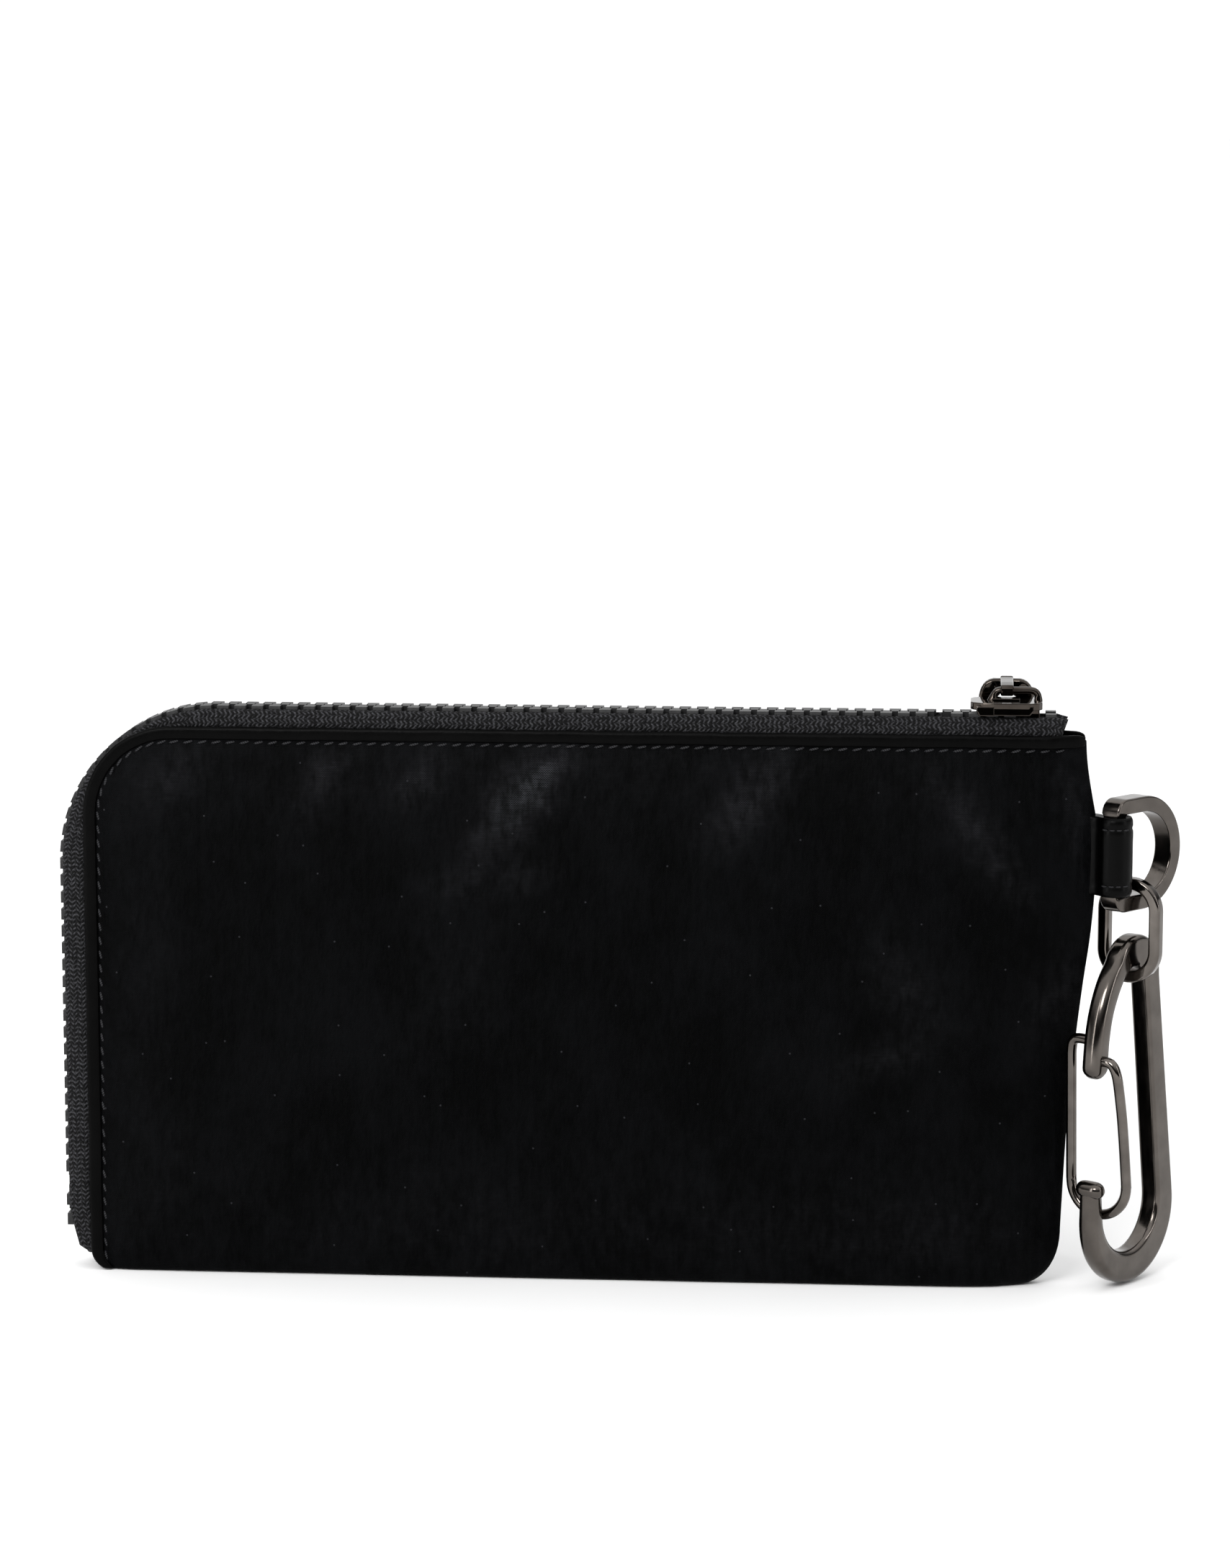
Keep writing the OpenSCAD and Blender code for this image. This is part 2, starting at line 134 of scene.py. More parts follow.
def sweep(name, rings, closed=False, uvs=None):
    """A tube through rings of points, closed on itself or capped at both ends."""
    cols = len(rings[0])
    verts = [p for ring in rings for p in ring]
    faces = grid_faces(len(rings), cols, closed_row=True, closed_col=closed)
    if not closed:
        faces.append(tuple(range(cols - 1, -1, -1)))
        faces.append(tuple(range((len(rings) - 1) * cols, len(rings) * cols)))
    return new_mesh(name, verts, faces, uvs)


def lerp(a, b, t):
    return a + (b - a) * t


def smoothstep(a, b, x):
    t = min(1.0, max(0.0, (x - a) / (b - a)))
    return t * t * (3 - 2 * t)


def curve_through(points, x):
    """Smooth value at x of a rising or falling row of (x, value) points."""
    if x <= points[0][0]:
        return points[0][1]
    for k in range(len(points) - 1):
        (x0, y0), (x1, y1) = points[k], points[k + 1]
        if x <= x1:
            before = points[k - 1] if k else points[k]
            after = points[k + 2] if k + 2 < len(points) else points[k + 1]
            m0 = (y1 - before[1]) / (x1 - before[0])
            m1 = (after[1] - y0) / (after[0] - x0)
            t, h = (x - x0) / (x1 - x0), x1 - x0
            return ((2 * t**3 - 3 * t**2 + 1) * y0 + (t**3 - 2 * t**2 + t) * h * m0
                    + (3 * t**2 - 2 * t**3) * y1 + (t**3 - t**2) * h * m1)
    return points[-1][1]


def spline(points, step):
    """Points along a smooth curve through the given ones, about step apart."""
    out = []
    for k in range(len(points) - 1):
        p0 = points[max(k - 1, 0)]
        p1, p2 = points[k], points[k + 1]
        p3 = points[min(k + 2, len(points) - 1)]
        n = max(1, round((p2 - p1).length / step))
        for i in range(n):
            t = i / n
            out.append(0.5 * (2 * p1 + (p2 - p0) * t + (2 * p0 - 5 * p1 + 4 * p2 - p3) * t * t
                              + (3 * p1 - p0 - 3 * p2 + p3) * t**3))
    out.append(points[-1])
    return out


def heading(path, i, closed):
    """The direction of a path at its point i."""
    ahead = path[(i + 1) % len(path)] if closed or i + 1 < len(path) else path[i]
    behind = path[i - 1] if closed or i else path[i]
    return (ahead - behind).normalized()


def wire_rings(path, radius, sides=14):
    """Round rings along an open path, turned as little as possible from one to the next."""
    rings = []
    side = None
    for i, p in enumerate(path):
        along = heading(path, i, False)
        if side is None:
            side = along.orthogonal().normalized()
        side = (side - along * side.dot(along)).normalized()
        up = along.cross(side)
        r = radius(i / (len(path) - 1)) if callable(radius) else radius
        rings.append([p + side * r * math.cos(a) + up * r * math.sin(a)
                      for a in (2 * math.pi * k / sides for k in range(sides))])
    return rings


def rounded_section(width, depth, radius, steps=4):
    """Points round a rounded rectangle, centred, as (across, out) pairs."""
    points = []
    for sx, sy, start in ((1, 1, 0), (-1, 1, 90), (-1, -1, 180), (1, -1, 270)):
        for k in range(steps + 1):
            a = math.radians(start + 90 * k / steps)
            points.append((sx * (width / 2 - radius) + radius * math.cos(a),
                           sy * (depth / 2 - radius) + radius * math.sin(a)))
    return points


class Plane:
    """An upright plane through a point, turned about Z: (u, v, n) to world millimetres."""

    def __init__(self, origin, angle_deg):
        a = math.radians(angle_deg)
        self.origin = Vector(origin)
        self.u = Vector((math.cos(a), math.sin(a), 0))
        self.n = Vector((-math.sin(a), math.cos(a), 0))

    def at(self, u, v, n=0.0):
        return self.origin + self.u * u + Vector((0, 0, v)) + self.n * n


def bar_between(name, plane, outer, inner, depth, radius, closed=False):
    """A bar in a plane, between matching outer and inner outline points, with rounded edges."""
    rings = []
    count = len(outer)
    for i in range(count):
        o, c = Vector(outer[i]), Vector(inner[i])
        mid = (o + c) / 2
        half = (o - c).length / 2
        d = depth[i] if isinstance(depth, list) else depth
        r = min(radius[i] if isinstance(radius, list) else radius, half * 0.95, d / 2 * 0.95)
        away = (o - c).normalized()
        ring = []
        for across, out in rounded_section(2 * half, d, r):
            p = mid + away * across
            ring.append(plane.at(p.x, p.y, out))
        rings.append(ring)
    piece = sweep(name, rings, closed=closed)
    fix_normals(piece)
    piece.modifiers.new("flats", "WEIGHTED_NORMAL").weight = 80
    return piece


def offset_path(path, distance):
    """A closed flat path moved to its left by distance, one number or one for each point."""
    out = []
    for i, p in enumerate(path):
        along = heading(path, i, True)
        reach = distance[i] if isinstance(distance, list) else distance
        out.append(p + Vector((-along.y, along.x)) * reach)
    return out


def closed_band(name, plane, path, out_reach, in_reach, depth, radius):
    """A ring of flat bar along a path in a plane, reaching to both sides of it."""
    outer, inner = offset_path(path, out_reach), offset_path(path, in_reach)
    return bar_between(name, plane, outer, inner, depth, radius, closed=True)


def arc2(centre, radius, start, end, steps):
    """Points on a flat arc, both ends included, in degrees."""
    turns = [math.radians(lerp(start, end, k / steps)) for k in range(steps + 1)]
    return [Vector((centre[0] + radius * math.cos(a), centre[1] + radius * math.sin(a))) for a in turns]


def line2(a, b, steps):
    """Points from a towards b, without b."""
    a, b = Vector(a), Vector(b)
    return [a.lerp(b, k / steps) for k in range(steps)]


def bevel(piece, width, segments=2, angle=35):
    mod = piece.modifiers.new("edge", "BEVEL")
    mod.width = width * MM
    mod.segments = segments
    mod.limit_method = "ANGLE"
    mod.angle_limit = math.radians(angle)


def join(name, pieces):
    """One mesh object from several."""
    for obj in bpy.context.selected_objects:
        obj.select_set(False)
    for piece in pieces:
        piece.select_set(True)
    bpy.context.view_layer.objects.active = pieces[0]
    bpy.ops.object.join()
    pieces[0].name = name
    return pieces[0]


def upright(a, b, c):
    return Vector((a, b, c))


def prism(name, outline, low, high, lift=upright):
    """A closed prism: lift turns (a, b, c) into a point, with c from low to high."""
    count = len(outline)
    verts = [lift(a, b, low) for a, b in outline] + [lift(a, b, high) for a, b in outline]
    faces = [tuple(range(count - 1, -1, -1)), tuple(range(count, 2 * count))]
    faces += [(k, (k + 1) % count, (k + 1) % count + count, k + count) for k in range(count)]
    piece = new_mesh(name, verts, faces, smooth=False)
    fix_normals(piece)
    return piece


def fix_normals(piece):
    work = bmesh.new()
    work.from_mesh(piece.data)
    bmesh.ops.recalc_face_normals(work, faces=work.faces)
    work.to_mesh(piece.data)
    work.free()


def thicken(piece, thick, offset):
    solid = piece.modifiers.new("thickness", "SOLIDIFY")
    solid.thickness = thick * MM
    solid.offset = offset


# ---- materials
def set_range(node, start, end, low, high):
    """The four numbers of a Map Range node."""
    for key, number in (("From Min", start), ("From Max", end), ("To Min", low), ("To Max", high)):
        node.inputs[key].default_value = number


class Nodes:
    """The node tree of a material or a world, with short helpers for its nodes."""

    def __init__(self, owner):
        owner.use_nodes = True
        self.tree = owner.node_tree

    def node(self, kind, **inputs):
        made = self.tree.nodes.new(kind)
        for key, value in inputs.items():
            self.set(made.inputs[key.replace("_", " ")], value)
        return made

    def set(self, socket, value):
        if isinstance(value, bpy.types.NodeSocket):
            self.tree.links.new(value, socket)
        else:
            socket.default_value = value

    def math(self, operation, a, b=0.0, c=0.0):
        made = self.node("ShaderNodeMath")
        made.operation = operation
        for socket, value in zip(made.inputs, (a, b, c)):
            self.set(socket, value)
        return made.outputs[0]

    def times(self, a, b):
        return self.math("MULTIPLY", a, b)

    def plus(self, a, b):
        return self.math("ADD", a, b)

    def wave(self, value, pitch):
        """A sine along value, with one turn for each pitch."""
        return self.math("SINE", self.times(value, 2 * math.pi / pitch))

    def place(self):
        """The object's coordinates, in millimetres."""
        made = self.node("ShaderNodeVectorMath")
        made.operation = "SCALE"
        self.set(made.inputs[0], self.node("ShaderNodeTexCoord").outputs["Object"])
        made.inputs["Scale"].default_value = 1 / MM
        return made.outputs[0]

    def uv(self):
        """The piece's uv map, drawn in millimetres, and its two directions."""
        coords = self.node("ShaderNodeTexCoord").outputs["UV"]
        parts = self.node("ShaderNodeSeparateXYZ", Vector=coords).outputs
        return coords, parts[0], parts[1]

    def noise(self, vector, scale, detail=3.0, rough=0.55, stretch=None):
        if stretch:
            vector = self.node("ShaderNodeMapping", Vector=vector, Scale=stretch).outputs[0]
        made = self.node("ShaderNodeTexNoise", Vector=vector, Scale=scale, Detail=detail, Roughness=rough)
        return made.outputs["Fac"]

    def spot(self, vector, x, z, lean, reach, width):
        """A soft oval patch, 1 in its middle and 0 at its rim."""
        shaped = self.node("ShaderNodeMapping", Vector=vector, Location=(x, z, 0),
                           Rotation=(0, 0, math.radians(lean)), Scale=(reach, width, 1))
        shaped.vector_type = "TEXTURE"
        ball = self.node("ShaderNodeTexGradient", Vector=shaped.outputs[0])
        ball.gradient_type = "QUADRATIC_SPHERE"
        return ball.outputs["Fac"]

    def ramp(self, value, low, high, start=0.3, end=0.7):
        made = self.node("ShaderNodeValToRGB", Fac=value)
        for stop, place, colour in zip(made.color_ramp.elements, (start, end), (low, high)):
            stop.position = place
            stop.color = (*colour, 1)
        return made.outputs[0]

    def span(self, value, low, high, start=0.0, end=1.0):
        made = self.node("ShaderNodeMapRange", Value=value)
        set_range(made, start, end, low, high)
        return made.outputs[0]

    def bump(self, height, depth_mm, strength=1.0, after=None):
        made = self.node("ShaderNodeBump", Strength=strength, Distance=depth_mm * MM, Height=height)
        if after:
            self.set(made.inputs["Normal"], after)
        return made.outputs[0]


class Material(Nodes):
    """A principled material."""

    def __init__(self, name, **sockets):
        self.mat = bpy.data.materials.new(name)
        super().__init__(self.mat)
        self.bsdf = self.tree.nodes["Principled BSDF"]
        for key, value in sockets.items():
            self.bsdf.inputs[key.replace("_", " ")].default_value = value

    def use(self, colour=None, rough=None, normal=None):
        for key, value in (("Base Color", colour), ("Roughness", rough), ("Normal", normal)):
            if value is not None:
                self.set(self.bsdf.inputs[key], value)
        return self.mat


def nylon():
    """Fine plain weave, blue-black, crinkled, with a sheen painted into its colour on its folds, and a
    little dust.
    """
    m = Material("nylon_shell", Sheen_Weight=0.008, Sheen_Roughness=0.4, Specular_IOR_Level=0.02)
    m.bsdf.inputs["Sheen Tint"].default_value = (0.62, 0.66, 0.82, 1)
    uv, u, v = m.uv()
    warp, weft = m.wave(u, 0.46), m.wave(v, 0.44)
    slub = m.noise(uv, 0.9, 2.0, stretch=(0.35, 3.0, 1.0))
    ridges = m.plus(m.times(m.math("ABSOLUTE", weft), 0.7), m.times(slub, 0.9))
    weave = m.plus(m.times(m.times(warp, weft), 0.5), ridges)
    crinkle = m.noise(uv, 0.62, 4.0, 0.62, stretch=(1.0, 0.36, 1.0))
    patches = m.noise(uv, 0.05, 4.0, 0.6, stretch=(1.0, 0.7, 1.0))
    blotches = m.noise(uv, 0.2, 5.0, 0.68)
    # random mottle of tone, with the raised crinkles a little lighter as painted light
    mottle = m.math("MULTIPLY_ADD", crinkle, 0.3, m.times(patches, 0.7))
    dark = m.ramp(mottle, (0.0005, 0.00055, 0.0006), (0.0017, 0.0018, 0.0021), 0.42, 0.6)
    # painted sheen: a highlight painted into the colour on the upper slope of each fold, and broad painted
    # light along the top, base and left side, broken up by the blotches
    sheen = 0.0
    spread = 1.9
    for x, z, lean, reach, width, strength in FOLDS:
        spot = m.spot(uv, x - CLOTH_MID, z, lean, spread * reach, spread * width)
        sheen = m.math("MULTIPLY_ADD", spot, strength, sheen)
    sheen = m.times(sheen, m.span(blotches, 0.4, 1.6, 0.32, 0.68))
    dust = m.node("ShaderNodeTexVoronoi", Scale=0.07, Vector=uv)
    dust.voronoi_dimensions = "2D"
    speck = m.math("LESS_THAN", dust.outputs["Distance"], 0.013)
    # the raised threads of the weave and the raised crinkles are painted lighter, as if lit; the painted
    # sheen and the dust specks are added on top
    texture = m.times(m.span(weave, 0.0, 0.5, 0.5, 1.7), m.span(crinkle, 0.35, 1.65, 0.36, 0.64))
    weave_tone_and_painted_sheen = m.math("MULTIPLY_ADD", sheen, 1.6, 0.003)
    light = m.math("MULTIPLY_ADD", m.times(texture, 2.0), weave_tone_and_painted_sheen, m.times(speck, 0.8))
    lit = m.node("ShaderNodeMix")
    lit.data_type = "RGBA"
    lit.blend_type = "ADD"
    lit.clamp_factor = False
    m.set(lit.inputs[0], light)
    m.set(lit.inputs[6], dark)
    lit.inputs[7].default_value = (0.021, 0.0213, 0.0236, 1)
    normal = m.bump(weave, 0.05, 0.6, m.bump(crinkle, 0.6, 0.9))
    return m.use(lit.outputs[2], m.span(crinkle, 0.34, 0.5, 0.3, 0.7), normal)


def leather(name, light, coat):
    """Smooth black leather with fine pores and soft patches of wear."""
    m = Material(name, Specular_IOR_Level=0.04, Coat_Weight=coat, Coat_Roughness=0.26)
    place = m.place()
    pores = m.node("ShaderNodeTexVoronoi", Scale=2.6, Vector=place)
    grain = m.noise(place, 1.6, 5.0, 0.62)
    wear = m.noise(place, 0.12, 3.0)
    colour = m.ramp(wear, (light * 0.6,) * 3, (light * 1.5, light * 1.45, light * 1.45), 0.35, 0.7)
    height = m.plus(m.times(pores.outputs["Distance"], 0.5), grain)
    return m.use(colour, m.span(grain, 0.3, 0.46, 0.3, 0.7), m.bump(height, 0.05, 0.5))


def knit():
    """Coarse zip tape: rows of slanted loops, with upright ribs near the teeth."""
    m = Material("zip_tape", Sheen_Weight=0.04, Sheen_Roughness=0.5, Specular_IOR_Level=0.12)
    uv, u, v = m.uv()
    row_pitch, loop_pitch = 0.78, 0.9
    row = m.times(v, 1 / row_pitch)
    zig = m.math("ABSOLUTE", m.math("SUBTRACT", m.math("FRACT", m.times(row, 0.5)), 0.5))
    loops = m.wave(m.plus(m.times(u, 1 / loop_pitch), m.times(zig, 1.3)), 1)
    ribs = m.math("ABSOLUTE", m.wave(row, 2))
    cells = m.node("ShaderNodeTexVoronoi", Scale=1.9, Vector=uv)
    fuzz = m.noise(uv, 3.2, 3.0, 0.7)
    knots = m.plus(m.times(m.times(loops, ribs), 0.6), m.times(cells.outputs["Distance"], -1.1))
    height = m.plus(knots, m.times(fuzz, 0.6))
    # painted shade: the hollows between the loops are painted near-black, the raised loops lighter, as if
    # lit
    raised = m.span(height, 0, 1, -1.0, 0.7)
    colour = m.ramp(raised, (0.0008, 0.0008, 0.001), (0.06, 0.06, 0.066), 0.36, 0.95)
    return m.use(colour, m.span(fuzz, 0.6, 0.8), m.bump(height, 0.34, 0.9))


def teeth_plastic():
    """Satin black teeth, rubbed a little lighter."""
    m = Material("zip_teeth", Specular_IOR_Level=0.3)
    place = m.place()
    rub = m.noise(place, 0.8, 3.0)
    fine = m.noise(place, 6.0, 2.0)
    colour = m.ramp(rub, (0.008, 0.008, 0.0085), (0.022, 0.022, 0.0225))
    return m.use(colour, m.span(fine, 0.34, 0.52), m.bump(fine, 0.03, 0.4))


def lining():
    """Plain woven lining."""
    m = Material("lining_fabric", Specular_IOR_Level=0.2)
    uv, u, v = m.uv()
    weave = m.times(m.wave(u, 0.7), m.wave(v, 0.7))
    soft = m.noise(uv, 0.2, 3.0)
    colour = m.ramp(soft, (0.012, 0.012, 0.013), (0.022, 0.022, 0.024))
    return m.use(colour, m.span(soft, 0.6, 0.75), m.bump(weave, 0.06, 0.7, m.bump(soft, 0.5, 0.4)))


def foam():
    """Felted grey foam."""
    m = Material("stiffener_foam")
    felt = m.noise(m.place(), 1.4, 4.0, 0.7)
    colour = m.ramp(felt, (0.2, 0.2, 0.2), (0.36, 0.36, 0.36))
    return m.use(colour, m.span(felt, 0.8, 0.95), m.bump(felt, 0.2))


def thread():
    """Twisted thread."""
    m = Material("thread", Specular_IOR_Level=0.15)
    _, u, v = m.uv()
    twist = m.wave(m.plus(m.times(u, 2.2), v), 1)
    # painted shade: the grooves of the twist are painted darker, the crest of each ply lighter, as if lit
    colour = m.ramp(m.span(twist, 0, 1, -1, 1), (0.008, 0.008, 0.009), (0.03, 0.03, 0.033), 0.1, 0.9)
    return m.use(colour, 0.55, m.bump(twist, 0.06, 0.8))


def gunmetal(name, low, high, rough_low, rough_high, grain_mm):
    """Dark nickel plate: warm grey metal with a fine grain and faint handling marks."""
    m = Material(name, Metallic=1.0)
    place = m.place()
    cloud = m.noise(place, 0.22, 3.0)
    grain = m.noise(place, 7.0, 3.0, 0.7)
    marks = m.noise(place, 1.1, 4.0, 0.6, stretch=(1.0, 1.0, 0.18))
    colour = m.ramp(cloud, low, high, 0.3, 0.75)
    rough = m.plus(m.span(marks, rough_low, rough_high, 0.35, 0.7), m.span(grain, 0.0, 0.04))
    return m.use(colour, rough, m.bump(grain, grain_mm, 0.35, m.bump(marks, 0.004, 0.25)))


NYLON = nylon()
LEATHER = leather("leather_trim", 0.0007, 0.0)
TAB_LEATHER = leather("leather_tab_gloss", 0.0002, 0.05)
KNIT = knit()
TEETH = teeth_plastic()
LINING = lining()
FOAM = foam()
THREAD = thread()
POLISHED = gunmetal("gunmetal", (0.09, 0.08, 0.072), (0.14, 0.126, 0.114), 0.03, 0.08, 0.003)
# a darker copy of the gunmetal for the slider, its crown, eye and pull ring: shade painted into the metal's
# colour, which stands for the dark reflections on them
SHADED_GUNMETAL = gunmetal("gunmetal_painted_shade", (0.034, 0.028, 0.024), (0.062, 0.054, 0.047), 0.02, 0.06, 0.003)
SATIN = gunmetal("gunmetal_satin", (0.078, 0.069, 0.062), (0.112, 0.1, 0.09), 0.09, 0.16, 0.006)


def finish_piece(piece, body, slot, material, *replaced):
    """Gives a piece its material and body, and hides the CAD nodes it stands for; the slot is not used."""
    piece.data.materials.clear()
    piece.data.materials.append(material)
    if body:
        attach(piece, body)
    if replaced:
        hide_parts(*replaced)


def bend_at_fold(piece):
    """Bakes a front piece's placement into its mesh; the middle of the fold is worked out but not used."""
    middle = (FOLD_POINT + FOLD_DIR * FOLD_MIDDLE) * MM
    middle.y = 0
    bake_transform(piece)


# ---- the two panels
# the right edge as (height, x), depths as (distance in from the edge, depth)
RIGHT_EDGE = [(12, 94.7), (33, 95.7), (47.5, 96.9), (60, 98.3), (69, 99.5), (77, 100.2), (86, 100.6),
              (92, 100.3), (96, 99.6), (100, 98.9), (104, 98.4), (108, 98.2)]
CLOTH_SEEDS = {FRONT: 2.0, BACK: 5.0}
RIM_DEPTH = [(0, 4.3), (1.8, 4.75), (2.6, 4.62), (3.6, 5.1), (7, 6.1), (14, 7.0), (30, 7.7), (54, 8.0)]
SEAM_DEPTH = [(0, 0.9), (0.8, 1.5), (3, 2.4), (8, 4.4), (18, 6.5), (40, 7.7), (90, 8.0)]
BASE_DEPTH = [(0, 4.3), (0.6, 5.0), (3, 5.9), (12, 7.1), (30, 7.8), (54, 8.0)]
# width and height of the rounded lower right corner
CORNER_W = 8.7
CORNER_H = 12.0


def left_edge(z):
    """The panel's left edge, tucked in at its foot and rounded at its top."""
    if z < 4:
        return EDGE_X + 2.6 * (1 - z / 4)**2
    if z < PANEL_CENTRE[1]:
        return EDGE_X
    rise = min(1.0, (z - PANEL_CENTRE[1]) / PANEL_R)
    return PANEL_CENTRE[0] - PANEL_R * math.sqrt(1 - rise * rise)


def right_edge(z):
    if z < CORNER_H:
        drop = min(1.0, (CORNER_H - z) / CORNER_H)
        return RIGHT_EDGE[0][1] - CORNER_W * (1 - math.sqrt(1 - drop**2.4))
    return curve_through(RIGHT_EDGE, z)


def inset(x, z):
    """Distance in from the left, top and corner edge."""
    if x < PANEL_CENTRE[0] and z > PANEL_CENTRE[1]:
        return PANEL_R - math.hypot(x - PANEL_CENTRE[0], z - PANEL_CENTRE[1])
    return min(x - EDGE_X, EDGE_Z - z)


def soft_min(*values):
    """The least of some values, rounded where they meet."""
    sharp = 1.1
    low = min(values)
    return low - math.log(sum(math.exp(-(v - low) * sharp) for v in values)) / sharp


def pull_creases(x, z):
    """Height of the folds; each stands a little below its painted sheen, which lies on its upper slope."""
    height = 0.0
    below = 1.5
    for cx, cz, lean, reach, width, strength in FOLDS:
        a = math.radians(lean)
        along = (x - cx) * math.cos(a) + (z + below - cz) * math.sin(a)
        across = (z + below - cz) * math.cos(a) - (x - cx) * math.sin(a)
        height += 0.9 * strength * math.exp(-(across / width)**2 - (along / reach)**2)
    return height


def wrinkles(x, z, d, seed):
    """Height of the cloth's dents and puckers, in millimetres."""
    slow = noise.noise(Vector((x * 0.016 + z * 0.014, z * 0.03 - x * 0.012, seed)))
    drape = noise.noise(Vector((x * 0.05 + z * 0.03, z * 0.022, seed + 7)))
    fine = noise.noise(Vector((x * 0.19, z * 0.11, seed + 3)))
    pucker = math.sin(x * 0.92 + 2.2 * noise.noise(Vector((x * 0.08, 0, seed)))) * math.exp(-abs(d - 4) / 6)
    creases = noise.noise(Vector((x * 0.32, z * 0.05, seed + 11))) * math.exp(-d / 26)
    cloth = 0.42 * slow + 0.3 * drape + 0.12 * fine + 0.08 * pucker + 0.22 * creases
    return cloth + pull_creases(x, z) - 0.2


def panel_depth(x, z, seed):
    """How far the cloth stands from the middle plane at (x, z)."""
    d, r = inset(x, z), right_edge(z) - x
    depth = soft_min(curve_through(RIM_DEPTH, d), curve_through(SEAM_DEPTH, r) + 0.6,
                     curve_through(BASE_DEPTH, z) + 0.4)
    calm = smoothstep(0.5, 9, min(d, r + 2, z + 3))
    return depth + calm * wrinkles(x, z, d, seed) - 0.15


def panel_rows():
    """Heights of the rows of the panel grid, closer together round the corner."""
    straight = [0.5 * k for k in range(1, 8)] + [4 + 1.3 * k for k in range(67)]
    straight = [z for z in straight if z < PANEL_CENTRE[1] - 0.5]
    top = PANEL_R - 1.0
    turn = [PANEL_CENTRE[1] + top * math.sin(math.radians(2.5 * k)) for k in range(37)]
    return straight + turn


def side_sheet(name, side, rows, cols, verts, uvs, thick, offset):
    """A grid of points as a sheet, with its faces turned away from the middle of the pouch."""
    faces = grid_faces(rows, cols)
    if side == BACK:
        faces = [tuple(reversed(f)) for f in faces]
    piece = new_mesh(name, verts, faces, uvs)
    thicken(piece, thick, offset)
    return piece


def panel_cloth(name, side, seed):
    """One cloth panel, closed towards the base and the side seam."""
    rows = [(0.0, 0.0), (0.0, 0.5), (0.08, 0.85)] + [(z, 1.0) for z in panel_rows()]
    cols = 150
    crowding = 0.045 / (2 * math.pi)
    verts, uvs = [], []
    for z, share in rows:
        low, high = left_edge(z) + 1.0, right_edge(z)
        for k in range(cols + 1):
            t = k / cols
            x = lerp(low, high, t - crowding * math.sin(2 * math.pi * t))
            depth = panel_depth(x, z, seed) * share
            sag = 0.0
            if share == 1.0 and z < 8:
                sag = 0.12 * noise.noise(Vector((x * 0.05, 3.1, seed))) * (1 - z / 8)
            verts.append((x, side * depth, max(0.0, z + sag)))
            uvs.append((-side * (x - CLOTH_MID), z if share == 1.0 else -4 + 4 * share))
        verts.append((high + 0.05, SEAM_Y, z))
        uvs.append((-side * (high - CLOTH_MID + 1.5), z))
    return side_sheet(name, side, len(rows), cols + 2, verts, uvs, 0.7, -1)


def inner_sheet(name, side, y, edge_gap, right_gap, base_gap, thick, seed):
    """A soft sheet inside a panel."""
    rows = [z for z in panel_rows()[::2] if base_gap < z < EDGE_Z - edge_gap - 0.4]
    cols = 60
    verts, uvs = [], []
    for z in rows:
        low = left_edge(min(z + edge_gap, EDGE_Z - 0.01)) if z > PANEL_CENTRE[1] - edge_gap else EDGE_X
        low += edge_gap * (1.0 if z < PANEL_CENTRE[1] else 0.4)
        high = right_edge(z) - right_gap
        for k in range(cols + 1):
            x = lerp(low, high, k / cols)
            dent = 0.12 * noise.noise(Vector((x * 0.06, z * 0.07, seed)))
            verts.append((x, side * (y + dent), z))
            uvs.append((x, z))
    return side_sheet(name, side, len(rows), cols + 1, verts, uvs, thick, 0)


# ---- runs round the corner
def run_station(s, d, left, top, centre, radius):
    """Point, outward and forward direction, s along a run and d inside it.

    The run goes up the left side from the base, round the corner and along the top."""
    up = centre[1]
    quarter = radius * math.pi / 2
    if s < up:
        return Vector((left + d, 0, s)), Vector((-1, 0, 0)), Vector((0, 0, 1))
    if s < up + quarter:
        a = math.pi - (s - up) / radius
        out = Vector((math.cos(a), 0, math.sin(a)))
        middle = Vector((centre[0], 0, centre[1]))
        return middle + out * (radius - d), out, Vector((math.sin(a), 0, -math.cos(a)))
    x = centre[0] + s - up - quarter
    return Vector((x, 0, top - d)), Vector((0, 0, 1)), Vector((1, 0, 0))


def edge_station(s, d):
    return run_station(s, d, EDGE_X, EDGE_Z, PANEL_CENTRE, PANEL_R)


def zip_station(s, d):
    return run_station(s, d, RIDGE_X, RIDGE_Z, ZIP_CENTRE, ZIP_R)


EDGE_LENGTH = PANEL_CENTRE[1] + PANEL_R * math.pi / 2 + RIGHT_EDGE[-1][1] - PANEL_CENTRE[0]
ZIP_LENGTH = ZIP_CENTRE[1] + ZIP_R * math.pi / 2 + TAPE_END - ZIP_CENTRE[0]


def stations(start, end, step):
    count = round((end - start) / step)
    return [lerp(start, end, k / count) for k in range(count + 1)]


TRIM_SECTION = [(-0.4, 3.95), (-0.6, 4.3), (-0.52, 4.75), (-0.25, 5.02), (0.4, 5.14), (1.3, 5.12),
                (1.8, 4.97), (2.0, 4.65), (1.9, 4.2), (0.9, 3.92)]


def seam_squeeze(x, z):
    """How far a band on the panel's edge is pressed together towards the side seam."""
    return min(1.0, (curve_through(SEAM_DEPTH, right_edge(z) - x) + 1.2) / 5.0)


